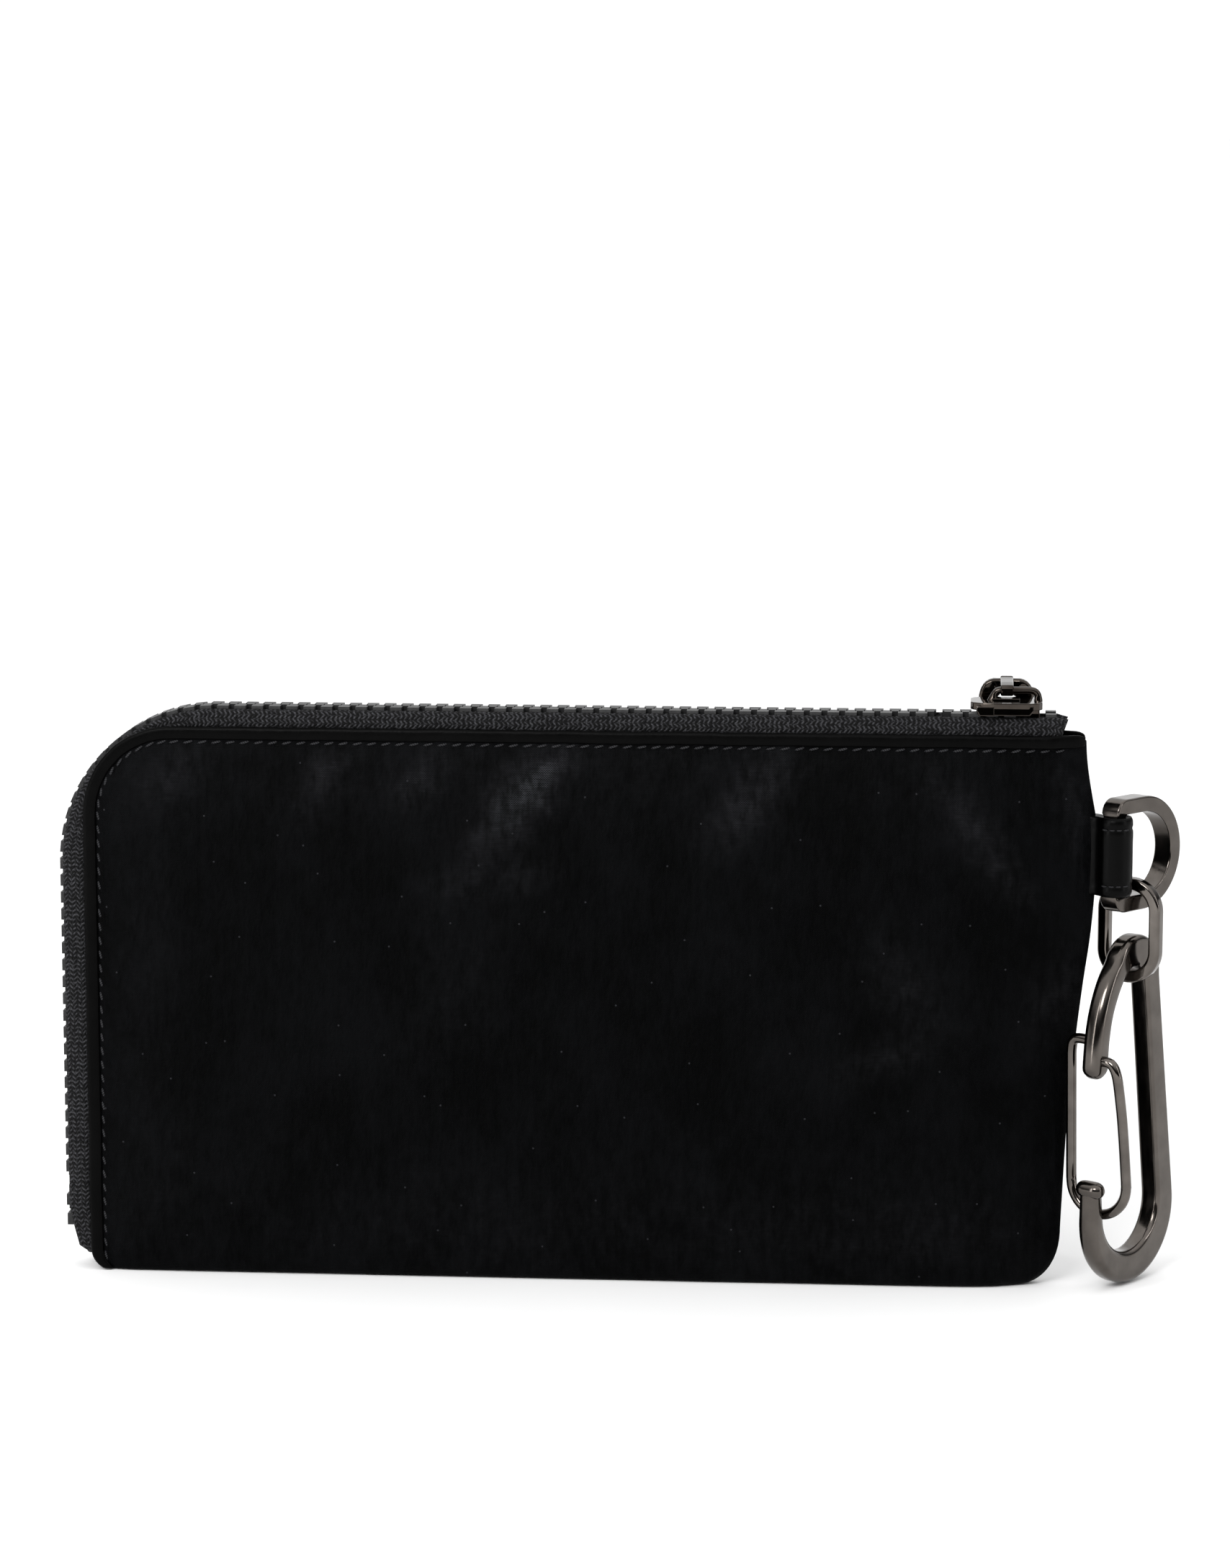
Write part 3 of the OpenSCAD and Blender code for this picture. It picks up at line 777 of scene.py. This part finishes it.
def edge_trim(name, side, seed):
    """The folded leather band along a panel's left and top edge."""
    rings, uvs = [], []
    for s in [0.25, 0.6, 1.1, 1.8, 2.6, 3.6] + stations(4.8, EDGE_LENGTH, 1.2):
        point, out, _ = edge_station(s, 0)
        point.x += left_edge(s) - EDGE_X if s < 4 else 0.0
        wave = 0.1 * noise.noise(Vector((s * 0.09, seed, 0)))
        wave += 0.09 * noise.noise(Vector((s * 0.42, seed, 3)))
        squeeze = seam_squeeze(point.x, point.z)
        end = smoothstep(EDGE_LENGTH - 1.0, EDGE_LENGTH, s) + smoothstep(1.0, 0.25, s) * 0.5
        ring = []
        for k, (d, y) in enumerate(TRIM_SECTION):
            d, y = lerp(d, 0.8, end * 0.45), lerp(y, 4.5, end * 0.45)
            ring.append(point - out * (d + wave) + Vector((0, side * (y * squeeze + wave), 0)))
            uvs.append((s, k * 0.6))
        rings.append(ring if side == FRONT else ring[::-1])
    piece = sweep(name, rings, uvs=uvs)
    smooth = piece.modifiers.new("smooth", "SUBSURF")
    smooth.levels = smooth.render_levels = 1
    return piece


def stitch_row(name, side, seed):
    """Slanted stitches along a panel's edge, each a short plump loop of thread."""
    pitch, start, end = 2.75, 1.4, EDGE_LENGTH - 1.6
    sides, rings = 8, 7
    verts, faces, uvs = [], [], []
    for k in range(int((end - start) / pitch)):
        s = start + (k + 0.5) * pitch
        point, out, along = edge_station(s, 2.45)
        depth = panel_depth(point.x, point.z, seed)
        centre = point + Vector((0, side * (depth + 0.12), 0))
        slant = math.radians(13 + 5 * noise.noise(Vector((s * 0.7, seed, 1))))
        run = along * math.cos(slant) + out * math.sin(slant)
        lift = Vector((0, side, 0))
        across = run.cross(lift)
        base = len(verts)
        for i in range(rings):
            t = i / (rings - 1)
            r = 0.21 * math.sqrt(max(0.02, 1 - (2 * t - 1)**4))
            mid = centre + run * lerp(-0.98, 0.98, t) + lift * (0.16 * math.sin(math.pi * t) - 0.12)
            for j in range(sides):
                a = 2 * math.pi * j / sides
                verts.append(mid + lift * r * math.sin(a) + across * r * math.cos(a) * 1.15)
                uvs.append((2 * t, j / sides))
        faces += grid_faces(rings, sides, closed_row=True, base=base)
        last = base + sides * (rings - 1)
        faces += [tuple(range(base, base + sides)), tuple(range(last + sides - 1, last - 1, -1))]
    piece = new_mesh(name, verts, faces, uvs)
    fix_normals(piece)
    return piece


# outer then inner line of a tape, as (inset, depth), from the hem to the teeth and back
TAPE_SECTION = [(8.5, 3.75), (6.5, 3.78), (4.5, 3.8), (3.2, 3.8), (2.2, 3.76), (1.4, 3.66), (0.9, 3.5),
                (0.66, 3.3), (0.66, 3.14), (0.9, 3.07), (1.24, 2.9), (1.22, 2.0), (1.22, 1.3), (1.22, 0.75),
                (1.75, 0.75), (1.78, 1.6), (1.8, 2.3), (2.1, 2.9), (2.7, 3.15), (4.0, 3.2), (6.5, 3.2),
                (8.5, 3.2)]


def zip_tape(name, side):
    """One half of the zip tape, swept round the corner, tucked in at its foot."""
    rings, uvs = [], []
    for s in [3.2, 3.6, 4.1, 4.6] + stations(5.2, ZIP_LENGTH, 1.0):
        tuck = 1.7 * min(1.0, max(0.0, (12.6 - s) / 7.6))**1.2 + 1.9 * smoothstep(4.8, 3.2, s)
        skew = 0.35 * smoothstep(ZIP_LENGTH - 5, ZIP_LENGTH, s)
        close = 1.6 * smoothstep(ZIP_LENGTH - 2.2, ZIP_LENGTH, s)
        ring, row = [], []
        run = 0.0
        last = None
        for d, y in TAPE_SECTION:
            point = zip_station(s, d + tuck * (1 if d < 7 else 0.2) + 0.25 * close)[0]
            point.x -= skew * (d - 0.66)
            if d > 4.5:
                y = min(y, panel_depth(point.x, point.z, CLOTH_SEEDS[FRONT]) - 1.1)
            ring.append(point + Vector((0, side * max(0.7, y - close * (y / 3.8)), 0)))
            run += math.hypot(d - last[0], y - last[1]) if last else 0.0
            last = (d, y)
            row.append((s, run))
        rings.append(ring if side == FRONT else ring[::-1])
        uvs += row if side == FRONT else row[::-1]
    return sweep(name, rings, uvs=uvs)


# ---- build: soft parts
def finish_soft(piece, side, slot, material, *replaced):
    """Finishes a soft piece: a back one rides on the pouch, a front one has its placement baked into its
    mesh.
    """
    finish_piece(piece, None if side == FRONT else "pouch", slot, material, *replaced)
    if side == FRONT:
        bend_at_fold(piece)


def build_soft():
    finish_soft(panel_cloth("front_cloth", FRONT, CLOTH_SEEDS[FRONT]), FRONT, "nylon_shell", NYLON,
                "front_panel_lower", "front_panel_flap", "base_fold")
    finish_soft(panel_cloth("back_cloth", BACK, CLOTH_SEEDS[BACK]), BACK, "nylon_shell", NYLON,
                "back_panel", "side_seam")
    finish_soft(edge_trim("front_trim", FRONT, 1.0), FRONT, "leather_trim", LEATHER,
                "front_edge_trim_end", "front_edge_trim_flap")
    finish_soft(edge_trim("back_trim", BACK, 4.0), BACK, "leather_trim", LEATHER, "back_edge_trim")
    for name, side in (("front_stitches", FRONT), ("back_stitches", BACK)):
        finish_soft(stitch_row(name, side, CLOTH_SEEDS[side]), side, "thread", THREAD)
    finish_soft(zip_tape("front_zip_tape", FRONT), FRONT, "zip_tape", KNIT,
                "front_tape_end", "front_tape_flap")
    finish_soft(zip_tape("back_zip_tape", BACK), BACK, "zip_tape", KNIT, "back_tape")

    sheets = (("inner_lining", "lining_fabric", LINING, (4.4, 5, 14, 2.5, 0.35), "lining", 1.0),
              ("foam", "stiffener_foam", FOAM, (5.15, 14, 20, 12, 0.7), "stiffener", 3.0))
    for name, slot, material, places, node, seed in sheets:
        finish_soft(inner_sheet("front_" + name, FRONT, *places, seed), FRONT, slot, material,
                    "front_%s_lower" % node, "front_%s_flap" % node)
        finish_soft(inner_sheet("back_" + name, BACK, *places, seed + 1), BACK, slot, material,
                    "back_" + node)


def dress_teeth():
    """The CAD teeth and stops stay; they get a worn material and rounded edges."""
    for name in ("back_teeth", "front_teeth_end", "front_teeth_flap", "top_stops", "bottom_stop"):
        node = frame["nodes"][name]
        node.data.materials.clear()
        node.data.materials.append(TEETH)
        bevel(node, 0.22)


# ---- build: slider and pull
def block(name, x0, x1, half_y, low, high):
    """An upright block, centred on the zip."""
    return prism(name, [(x0, -half_y), (x1, -half_y), (x1, half_y), (x0, half_y)], low, high)


def build_slider():
    """The slider's shell, its crown and the eye that hangs on the crown."""
    low, high = box_mm("slider_body")
    pin, ring = pivot_mm("eye_fold"), pivot_mm("ring_swing")
    x0, x1, half, top = low.x, high.x, high.y, high.z
    plate_low = RIDGE_Z + 0.35
    nose = [(x0, 2.6), (x0 + 0.5, 3.6), (x0 + 2.2, half - 0.3), (x0 + 4.5, half), (x1 - 2.4, half),
            (x1 - 0.7, half - 0.9), (x1, half - 2.2)]
    outline = [(x, -y) for x, y in nose] + [(x, y) for x, y in reversed(nose)]
    inner = [(x, y * 0.55) for x, y in outline]
    parts = [prism("plate", outline, plate_low + 0.5, top), prism("inner_plate", inner, low.z, low.z + 1.0),
             block("post", x1 - 2.9, x1 - 0.5, 0.4, low.z + 0.6, plate_low + 0.8)]
    foot = RIDGE_Z - 0.4
    side_view = [(x0 + 1.1, foot + 1.1), (x0 + 1.5, foot + 0.3), (x1 - 2.4, foot + 0.3),
                 (x1 - 1.7, foot + 1.2), (x1 - 1.7, top - 0.5), (x0 + 1.1, top - 0.5)]
    step_view = [(x0 + 1.2, foot + 1.1), (x0 + 1.7, foot + 0.25), (x0 + 4.5, foot + 0.25),
                 (x0 + 4.5, top - 0.6), (x0 + 1.2, top - 0.6)]
    lean = lambda a, b, c: Vector((a, c * (1 + 0.022 * (top - 0.6 - b)), b))
    for side in (FRONT, BACK):
        parts.append(prism("flange", side_view, side * 3.4, side * (half - 0.05), lean))
        parts.append(prism("step", step_view, side * (half - 0.6), side * (half + 0.16), lean))
    parts.append(block("lug", x0 + 4.2, x0 + 9.4, 1.2, top - 0.3, top + 0.42))
    parts.append(block("ridge", x0 + 4.4, x0 + 9.2, 0.5, top, pin.z - 1.5))
    body = join("slider_shell", parts)
    bevel(body, 0.28, 3, 25)
    finish_piece(body, "slider", "gunmetal", SHADED_GUNMETAL, "slider_body")

    low, high = box_mm("slider_bridge")
    left, right, arch = low.x + 0.7, high.x - 0.7, high.z - 0.7
    foot = top - 0.4
    route = [(left - 0.5, foot), (left - 0.25, foot + 0.9), (left + 0.3, arch - 0.35), (left + 1.3, arch),
             (left + 4.2, arch), (right - 1.2, arch), (right - 0.2, arch - 0.5), (right + 0.1, foot + 0.9),
             (right + 0.1, foot)]
    path = spline([Vector((x, 0, z)) for x, z in route], 0.35)
    thick = lambda t: 0.68 + 0.34 * smoothstep(0.16, 0.0, t) + 0.2 * smoothstep(0.86, 1.0, t)
    crown = sweep("slider_crown", wire_rings(path, thick))
    finish_piece(crown, "slider", "gunmetal", SHADED_GUNMETAL, "slider_bridge")

    low, high = box_mm("pull_eye")
    near, far, waist, half_width = 1.12, 1.3, 1.1, 1.25
    pin2, ring2 = Vector((pin.y, pin.z)), Vector((ring.y, ring.z))
    outline = arc2(pin2, near, 60, 300, 12)
    outline += [pin2.lerp(ring2, t) - Vector((0, waist)) for t in (0.3, 0.5, 0.7)]
    outline += arc2(ring2, far, -120, 120, 12)
    outline += [pin2.lerp(ring2, t) + Vector((0, waist)) for t in (0.7, 0.5, 0.3)]
    middle = 0.5 * (low.x + high.x)
    eye = prism("eye_strap", outline, middle - half_width, middle + half_width,
                lambda a, b, c: Vector((c, a, b)))
    bevel(eye, 0.35, 3, 50)
    finish_piece(eye, "pull_eye", "gunmetal", SHADED_GUNMETAL, "pull_eye")


def build_pull():
    """The pull ring: a rounded band, thinner where it runs through the eye."""
    pin = pivot_mm("ring_swing")
    low, high = box_mm("pull_ring")
    band = 0.95
    half = (high.x - low.x) / 2 - band
    foot = low.z - pin.z + band + half
    path = []
    for k in range(25):
        a = math.radians(180 - 7.5 * k)
        across = math.copysign(abs(math.cos(a))**0.8, math.cos(a))
        path.append(Vector((half * across, 4.6 * (abs(math.sin(a))**0.9 - 1))))
    path += line2((half, -4.9), (half, foot), 12) + arc2((0, foot), half, 0, -180, 24)
    path += line2((-half, foot + 0.3), (-half, -4.9), 12)
    clear = [1.0 if p.y < -8 else smoothstep(1.35, 2.1, abs(p.x)) for p in path]
    outer_reach, inner_reach = [], []
    for p, c in zip(path, clear):
        shoulder = 0.5 * smoothstep(-3.5, -0.5, p.y) * smoothstep(0.8, 3.4, abs(p.x))
        outer_reach.append(0.85 + 0.1 * c + shoulder)
        inner_reach.append(-lerp(0.85, 1.5 + 0.8 * smoothstep(-7, -4, p.y), c))
    depth = [lerp(1.8, 2.3, c) for c in clear]
    ring = closed_band("pull_band", Plane(pin, 0), path, outer_reach, inner_reach, depth, 0.62)
    finish_piece(ring, "pull_ring", "gunmetal", SHADED_GUNMETAL, "pull_ring")


# ---- build: tab, ring, link, clip
def build_tab():
    """The leather tab: a strip folded round the bar, pinched at its neck, creased near its ends."""
    low, high = box_mm("leather_tab")
    axis = pivot_mm("d_ring_swing")
    bore, skin, sides = 1.66, 1.9, 24
    root, neck = low.x, axis.x - 2.6
    outline = [(root, -1.7), (root + 1.5, -1.9), (root + 3.0, -2.25), (neck, axis.y - 1.7)]
    for k in range(19):
        a = math.radians(lerp(-142, 142, k / 18))
        r = bore + skin - 0.25 * smoothstep(90, 142, abs(math.degrees(a)))
        outline.append((axis.x + r * math.cos(a), axis.y + r * math.sin(a)))
    outline += [(neck, axis.y + 2.6), (root + 3.0, 1.6), (root + 1.5, 1.5), (root, 1.3)]
    rows = stations(low.z, high.z, 0.55)
    verts, uvs = [], []
    for z in rows:
        end = min(z - low.z, high.z - z)
        pinch = 0.16 * math.exp(-((end - 2.2) / 0.35)**2) + 0.35 * math.exp(-end / 0.35)
        for k, (x, y) in enumerate(outline):
            away = Vector((x - axis.x, y - axis.y, 0)).normalized()
            soft = 0.07 * noise.noise(Vector((x * 0.5, y * 0.5, z * 0.35)))
            verts.append(Vector((x, y, z)) - away * (pinch - soft))
            uvs.append((k * 0.8, z))
    base = len(verts)
    for z in (low.z + 0.15, high.z - 0.15):
        for k in range(sides):
            a = 2 * math.pi * k / sides
            x, y = axis.x + bore * math.cos(a), axis.y + bore * math.sin(a)
            verts.append(Vector((x, y, z)))
            uvs.append((x, z))
    faces = grid_faces(len(rows), len(outline), closed_row=True)
    faces += [tuple(reversed(f)) for f in grid_faces(2, sides, closed_row=True, base=base)]
    piece = new_mesh("tab_loop", verts, faces, uvs)
    last_row = base - len(outline)
    cap_between(piece, len(outline), sides, ((0, base), (last_row, base + sides)))
    finish_piece(piece, "pouch", "leather_trim", TAB_LEATHER, "leather_tab")

    row = [thread_bit(Vector((axis.x - 1.9 + k * 1.35, 0, z)), axis)
           for z in (low.z + 2.2, high.z - 2.2) for k in range(4)]
    finish_piece(join("tab_stitches", row), "pouch", "thread", THREAD)


def cap_between(piece, count, sides, ends):
    """Closes the ends of the tab, each between an outline of count points and a bore of sides points."""
    work = bmesh.new()
    work.from_mesh(piece.data)
    work.verts.ensure_lookup_table()
    for outline_start, bore_start in ends:
        edges = []
        for start, length in ((outline_start, count), (bore_start, sides)):
            loop = [work.verts[start + k] for k in range(length)]
            pairs = zip(loop, loop[1:] + loop[:1])
            edges += [work.edges.get(pair) or work.edges.new(pair) for pair in pairs]
        bmesh.ops.triangle_fill(work, use_beauty=True, edges=edges)
    bmesh.ops.recalc_face_normals(work, faces=work.faces)
    work.to_mesh(piece.data)
    work.free()


def thread_bit(centre, axis):
    """One stitch across the front of the tab, following its round."""
    path = []
    for k in range(7):
        x = centre.x + lerp(-0.5, 0.5, k / 6)
        across = min(1.0, abs(x - axis.x) / 3.56)
        y = axis.y - 3.5 * math.sqrt(1 - across * across)
        path.append(Vector((x, y + 0.12 - 0.14 * math.sin(math.pi * k / 6), centre.z)))
    rings = wire_rings(path, lambda t: 0.15 * math.sqrt(max(0.05, 1 - (2 * t - 1)**4)), 8)
    uvs = [(i / 3, j / 8) for i in range(7) for j in range(8)]
    return sweep("stitch", rings, uvs=uvs)


# how far the hanging parts' planes are turned about Z, in degrees, and the clip's thickness and half width
D_ANGLE = 49.5
LINK_ANGLE = -25.5
CLIP_ANGLE = 54.5
CLIP_DEPTH = 4.2
CLIP_HALF = 14.0


def build_d_ring():
    """The D-ring: a flat band, thinner where the tab holds it."""
    low, high = box_mm("d_ring")
    tab_low, tab_high = box_mm("leather_tab")
    band, corner = 1.5, 1.3
    half = (high.z - low.z) / 2 - band
    reach = 18.0 - band - half
    path = line2((0, -half + corner), (0, half - corner), 14)
    path += arc2((corner, half - corner), corner, 180, 90, 5)
    path += line2((corner + 0.4, half), (reach, half), 6)
    path += arc2((reach, 0), half, 90, -90, 40)
    path += line2((reach - 0.4, -half), (corner, -half), 6)
    path += arc2((corner, -half + corner), corner, 270, 180, 5)[:-1]
    held = [p.x < 0.2 and abs(p.y) < (tab_high.z - tab_low.z) / 2 + 0.35 for p in path]
    widths = [1.42 if inside else band for inside in held]
    depth = [2.84 if inside else 4.2 for inside in held]
    plane = Plane(pivot_mm("d_ring_swing"), D_ANGLE)
    piece = closed_band("d_ring_band", plane, path, widths, [-w for w in widths], depth, 0.38)
    finish_piece(piece, "d_ring", "gunmetal", SATIN, "d_ring")


def build_link():
    """The link: an oval of flat wire."""
    low, high = box_mm("chain_link")
    hang = pivot_mm("link_swing")
    wire, width = 1.15, 12.9
    radius = width / 2 - wire
    side = (high.z - low.z) / 2 - radius - wire
    path = line2((-radius, -side), (-radius, side), 8) + arc2((0, side), radius, 180, 0, 30)
    path += line2((radius, side - 0.3), (radius, -side), 8) + arc2((0, -side), radius, 0, -180, 30)[:-1]
    plane = Plane((hang.x, hang.y, (low.z + high.z) / 2), LINK_ANGLE)
    piece = closed_band("link_band", plane, path, wire, -wire, 2.6, 0.6)
    finish_piece(piece, "chain_link", "gunmetal", POLISHED, "chain_link")


def even(points, count):
    """The same line with count points, evenly spaced."""
    points = [Vector(p) for p in points]
    lengths = [0.0]
    for a, b in zip(points, points[1:]):
        lengths.append(lengths[-1] + (b - a).length)
    out = []
    k = 0
    for i in range(count):
        s = lengths[-1] * i / (count - 1)
        while k < len(points) - 2 and lengths[k + 1] < s:
            k += 1
        t = (s - lengths[k]) / max(lengths[k + 1] - lengths[k], 1e-9)
        out.append(points[k].lerp(points[k + 1], t))
    return out


def build_clip():
    """The clip's body: from the hinge leg over the top, down the spine and round to the nose."""
    hang = pivot_mm("clip_swing")
    plane = Plane((hang.x, hang.y, 1.0), CLIP_ANGLE)
    plane.origin -= plane.u * CLIP_HALF
    leg_outer = [(0.3, 43.9), (0.75, 48.4), (1.7, 53.1), (3.2, 57.2), (5.3, 61.0), (7.9, 64.1)]
    leg_inner = [(5.1, 43.9), (5.4, 48.4), (6.4, 53.1), (8.1, 56.8), (9.5, 59.0), (10.4, 60.4)]
    leg_outer, leg_inner = (spline([Vector(p) for p in leg], 0.8) for leg in (leg_outer, leg_inner))
    # outer line, inner line, number of stations, edge radius at the start and at the end
    segments = [(leg_outer, leg_inner, 22, 1.6, 1.5),
                (arc2((14.5, 60.9), 7.3, 154, -5, 26), arc2((13.7, 58.4), 3.6, 146, -5, 26), 28, 1.4, 0.9),
                ([(21.8, 59.6), (27.98, 14.6)], [(17.3, 57.6), (22.48, 15.7)], 26, 0.8, 0.8),
                (arc2((14, 13.4), 14, 4, -172, 44), arc2((13.3, 15), 9.2, 4, -172, 44), 46, 0.8, 1.75),
                ([(0.02, 12.6), (0.4, 20.4)], [(4.1, 14.6), (3.4, 20.4)], 9, 1.75, 1.4)]
    outer, inner, radius = [], [], []
    for line_outer, line_inner, count, r, end_r in segments:
        outer += even(line_outer, count)[:-1]
        inner += even(line_inner, count)[:-1]
        radius += [lerp(r, end_r, k / (count - 1)) for k in range(count - 1)]
    first = round_end(outer[0], inner[0], outer[1], inner[1], 2.3)
    last = round_end(outer[-1], inner[-1], outer[-2], inner[-2], 1.5)
    along = first[::-1] + [(o, c, CLIP_DEPTH) for o, c in zip(outer, inner)] + last
    outer, inner, depth = (list(row) for row in zip(*along))
    radius = [radius[0]] * len(first) + radius + [radius[-1]] * len(last)
    body = bar_between("clip_body", plane, outer, inner, depth, radius)
    head = [plane.at(1.75, 19.9, n) for n in stations(-2.95, 2.95, 0.39)]
    bulge = lambda t: 1.75 * max(0.12, 1 - (2 * t - 1)**4)**0.5
    nose = sweep("nose", wire_rings(head, bulge, 24))
    fix_normals(nose)
    finish_piece(join("clip_body", [body, nose]), "clip", "gunmetal", SATIN, "carabiner_body")
    return plane


def round_end(outer, inner, next_outer, next_inner, reach):
    """Shrinking stations beyond an end of the clip, which make it round: (outer, inner, depth) each."""
    mid, half = (outer + inner) / 2, (outer - inner) / 2
    along = (mid - (next_outer + next_inner) / 2).normalized()
    made = []
    for k in range(1, 7):
        a = math.radians(15 * k)
        centre = mid + along * reach * math.sin(a)
        narrow = half * max(0.06, math.cos(a))
        made.append((centre + narrow, centre - narrow, CLIP_DEPTH * max(0.2, math.cos(a)**0.6)))
    return made


def build_gate(plane):
    """The gate wire: its two ends sit in the hinge leg at different heights, which springs it shut."""
    foot_n, foot_u, foot_v = 6.3, 4.6, 20.7
    route = [(2.7, 49.0, 1.0), (2.7, 49.1, 3.6), (2.8, 48.6, 5.0), (2.9, 47.0, 5.6), (3.2, 43.0, 5.8),
             (3.9, 33.0, 6.1), (foot_u - 0.1, foot_v + 1.4, foot_n)]
    for k in range(13):
        a = math.radians(180 * k / 12)
        route.append((foot_u, foot_v - (foot_n - 0.15) * math.sin(a), foot_n * math.cos(a)))
    route += [(foot_u - 0.1, foot_v + 1.4, -foot_n), (3.9, 33.0, -5.7), (3.2, 40.6, -5.1),
              (2.9, 43.2, -4.7), (2.8, 44.6, -4.0), (2.7, 45.2, -3.0), (2.7, 45.2, -1.0)]
    path = spline([plane.at(u, v, n) for u, v, n in route], 0.6)
    wire = sweep("gate_spring", wire_rings(path, 1.02, 16))
    finish_piece(wire, "gate", "gunmetal", POLISHED, "gate_wire")


# ---- camera, floor and lights
def build_stage():
    """A pale paper floor."""
    reach = 20 / MM
    corners = [(-reach, -reach, 0), (reach, -reach, 0), (reach, reach, 0), (-reach, reach, 0)]
    floor = new_mesh("studio_floor", corners, [(0, 1, 2, 3)])
    paper = Material("paper", Roughness=0.9, Specular_IOR_Level=0.05)
    tone = paper.noise(paper.place(), 0.02, 2.0)
    floor.data.materials.append(paper.use(paper.ramp(tone, (0.88, 0.88, 0.88), (0.9, 0.9, 0.9))))


def aim(name, data, place, target):
    """An object at a place, which faces a target."""
    made = bpy.data.objects.new(name, data)
    made.location = place
    made.rotation_euler = (target - place).to_track_quat("-Z", "Y").to_euler()
    bpy.context.scene.collection.objects.link(made)
    return made


def area_light(name, place, size, power):
    """A soft light that shines on the middle of the pouch."""
    data = bpy.data.lights.new(name, "AREA")
    data.shape = "RECTANGLE"
    data.size, data.size_y = size
    data.energy = power
    aim(name, data, Vector(place), Vector((0, 0, 0.06)))


def build_lights():
    """A white sky and backdrop, dark low down in front, and soft lights from left, above and right."""
    world = bpy.data.worlds.new("studio")
    bpy.context.scene.world = world
    sky = Nodes(world)
    compass = sky.node("ShaderNodeTexCoord").outputs["Generated"]
    way = sky.node("ShaderNodeSeparateXYZ", Vector=compass).outputs

    def share(axis, start, end, low, high):
        made = sky.span(way[axis], low, high, start, end)
        made.node.interpolation_type = "SMOOTHSTEP"
        return made

    sky_and_back = sky.math("MAXIMUM", share("Z", 0.15, 0.8, 0.02, 1.5), share("Y", 0.6, 0.92, 0.0, 1.1))
    horizon = share("Z", 0.01, 0.04, 1.0, 0.0)
    backdrop = sky.math("MULTIPLY", share("Z", 0.12, 0.2, 1.0, 0.0), share("Y", -0.5, -0.1, 0.0, 1.0))
    strength = sky.math("MAXIMUM", sky.math("MAXIMUM", sky_and_back, horizon), backdrop)
    white = sky.tree.nodes["Background"]
    white.inputs["Color"].default_value = (1, 1, 1, 1)
    sky.set(white.inputs["Strength"], strength)
    area_light("key", (-0.32, -0.9, 0.72), (0.5, 0.28), 6.5)
    area_light("side", (0.95, -0.35, 0.35), (0.1, 0.7), 1.6)
    area_light("strip", (-0.75, -0.6, 0.3), (0.18, 0.7), 2.6)


def build_camera():
    azimuth, elevation, distance = math.radians(4.5), math.radians(9), 0.85
    target = Vector((0.0078, 0, 0.0976))
    away = Vector((math.sin(azimuth) * math.cos(elevation), -math.cos(azimuth) * math.cos(elevation),
                   math.sin(elevation)))
    data = bpy.data.cameras.new("camera")
    frame_height = 0.303
    data.sensor_width = 36
    data.lens = data.sensor_width * distance / frame_height
    data.clip_start = 0.01
    bpy.context.scene.camera = aim("camera", data, target + away * distance, target)


build_camera()
build_stage()
build_lights()
build_soft()
dress_teeth()
build_slider()
build_pull()
build_tab()
build_d_ring()
build_link()
build_gate(build_clip())
bpy.context.scene.view_settings.view_transform = "Standard"
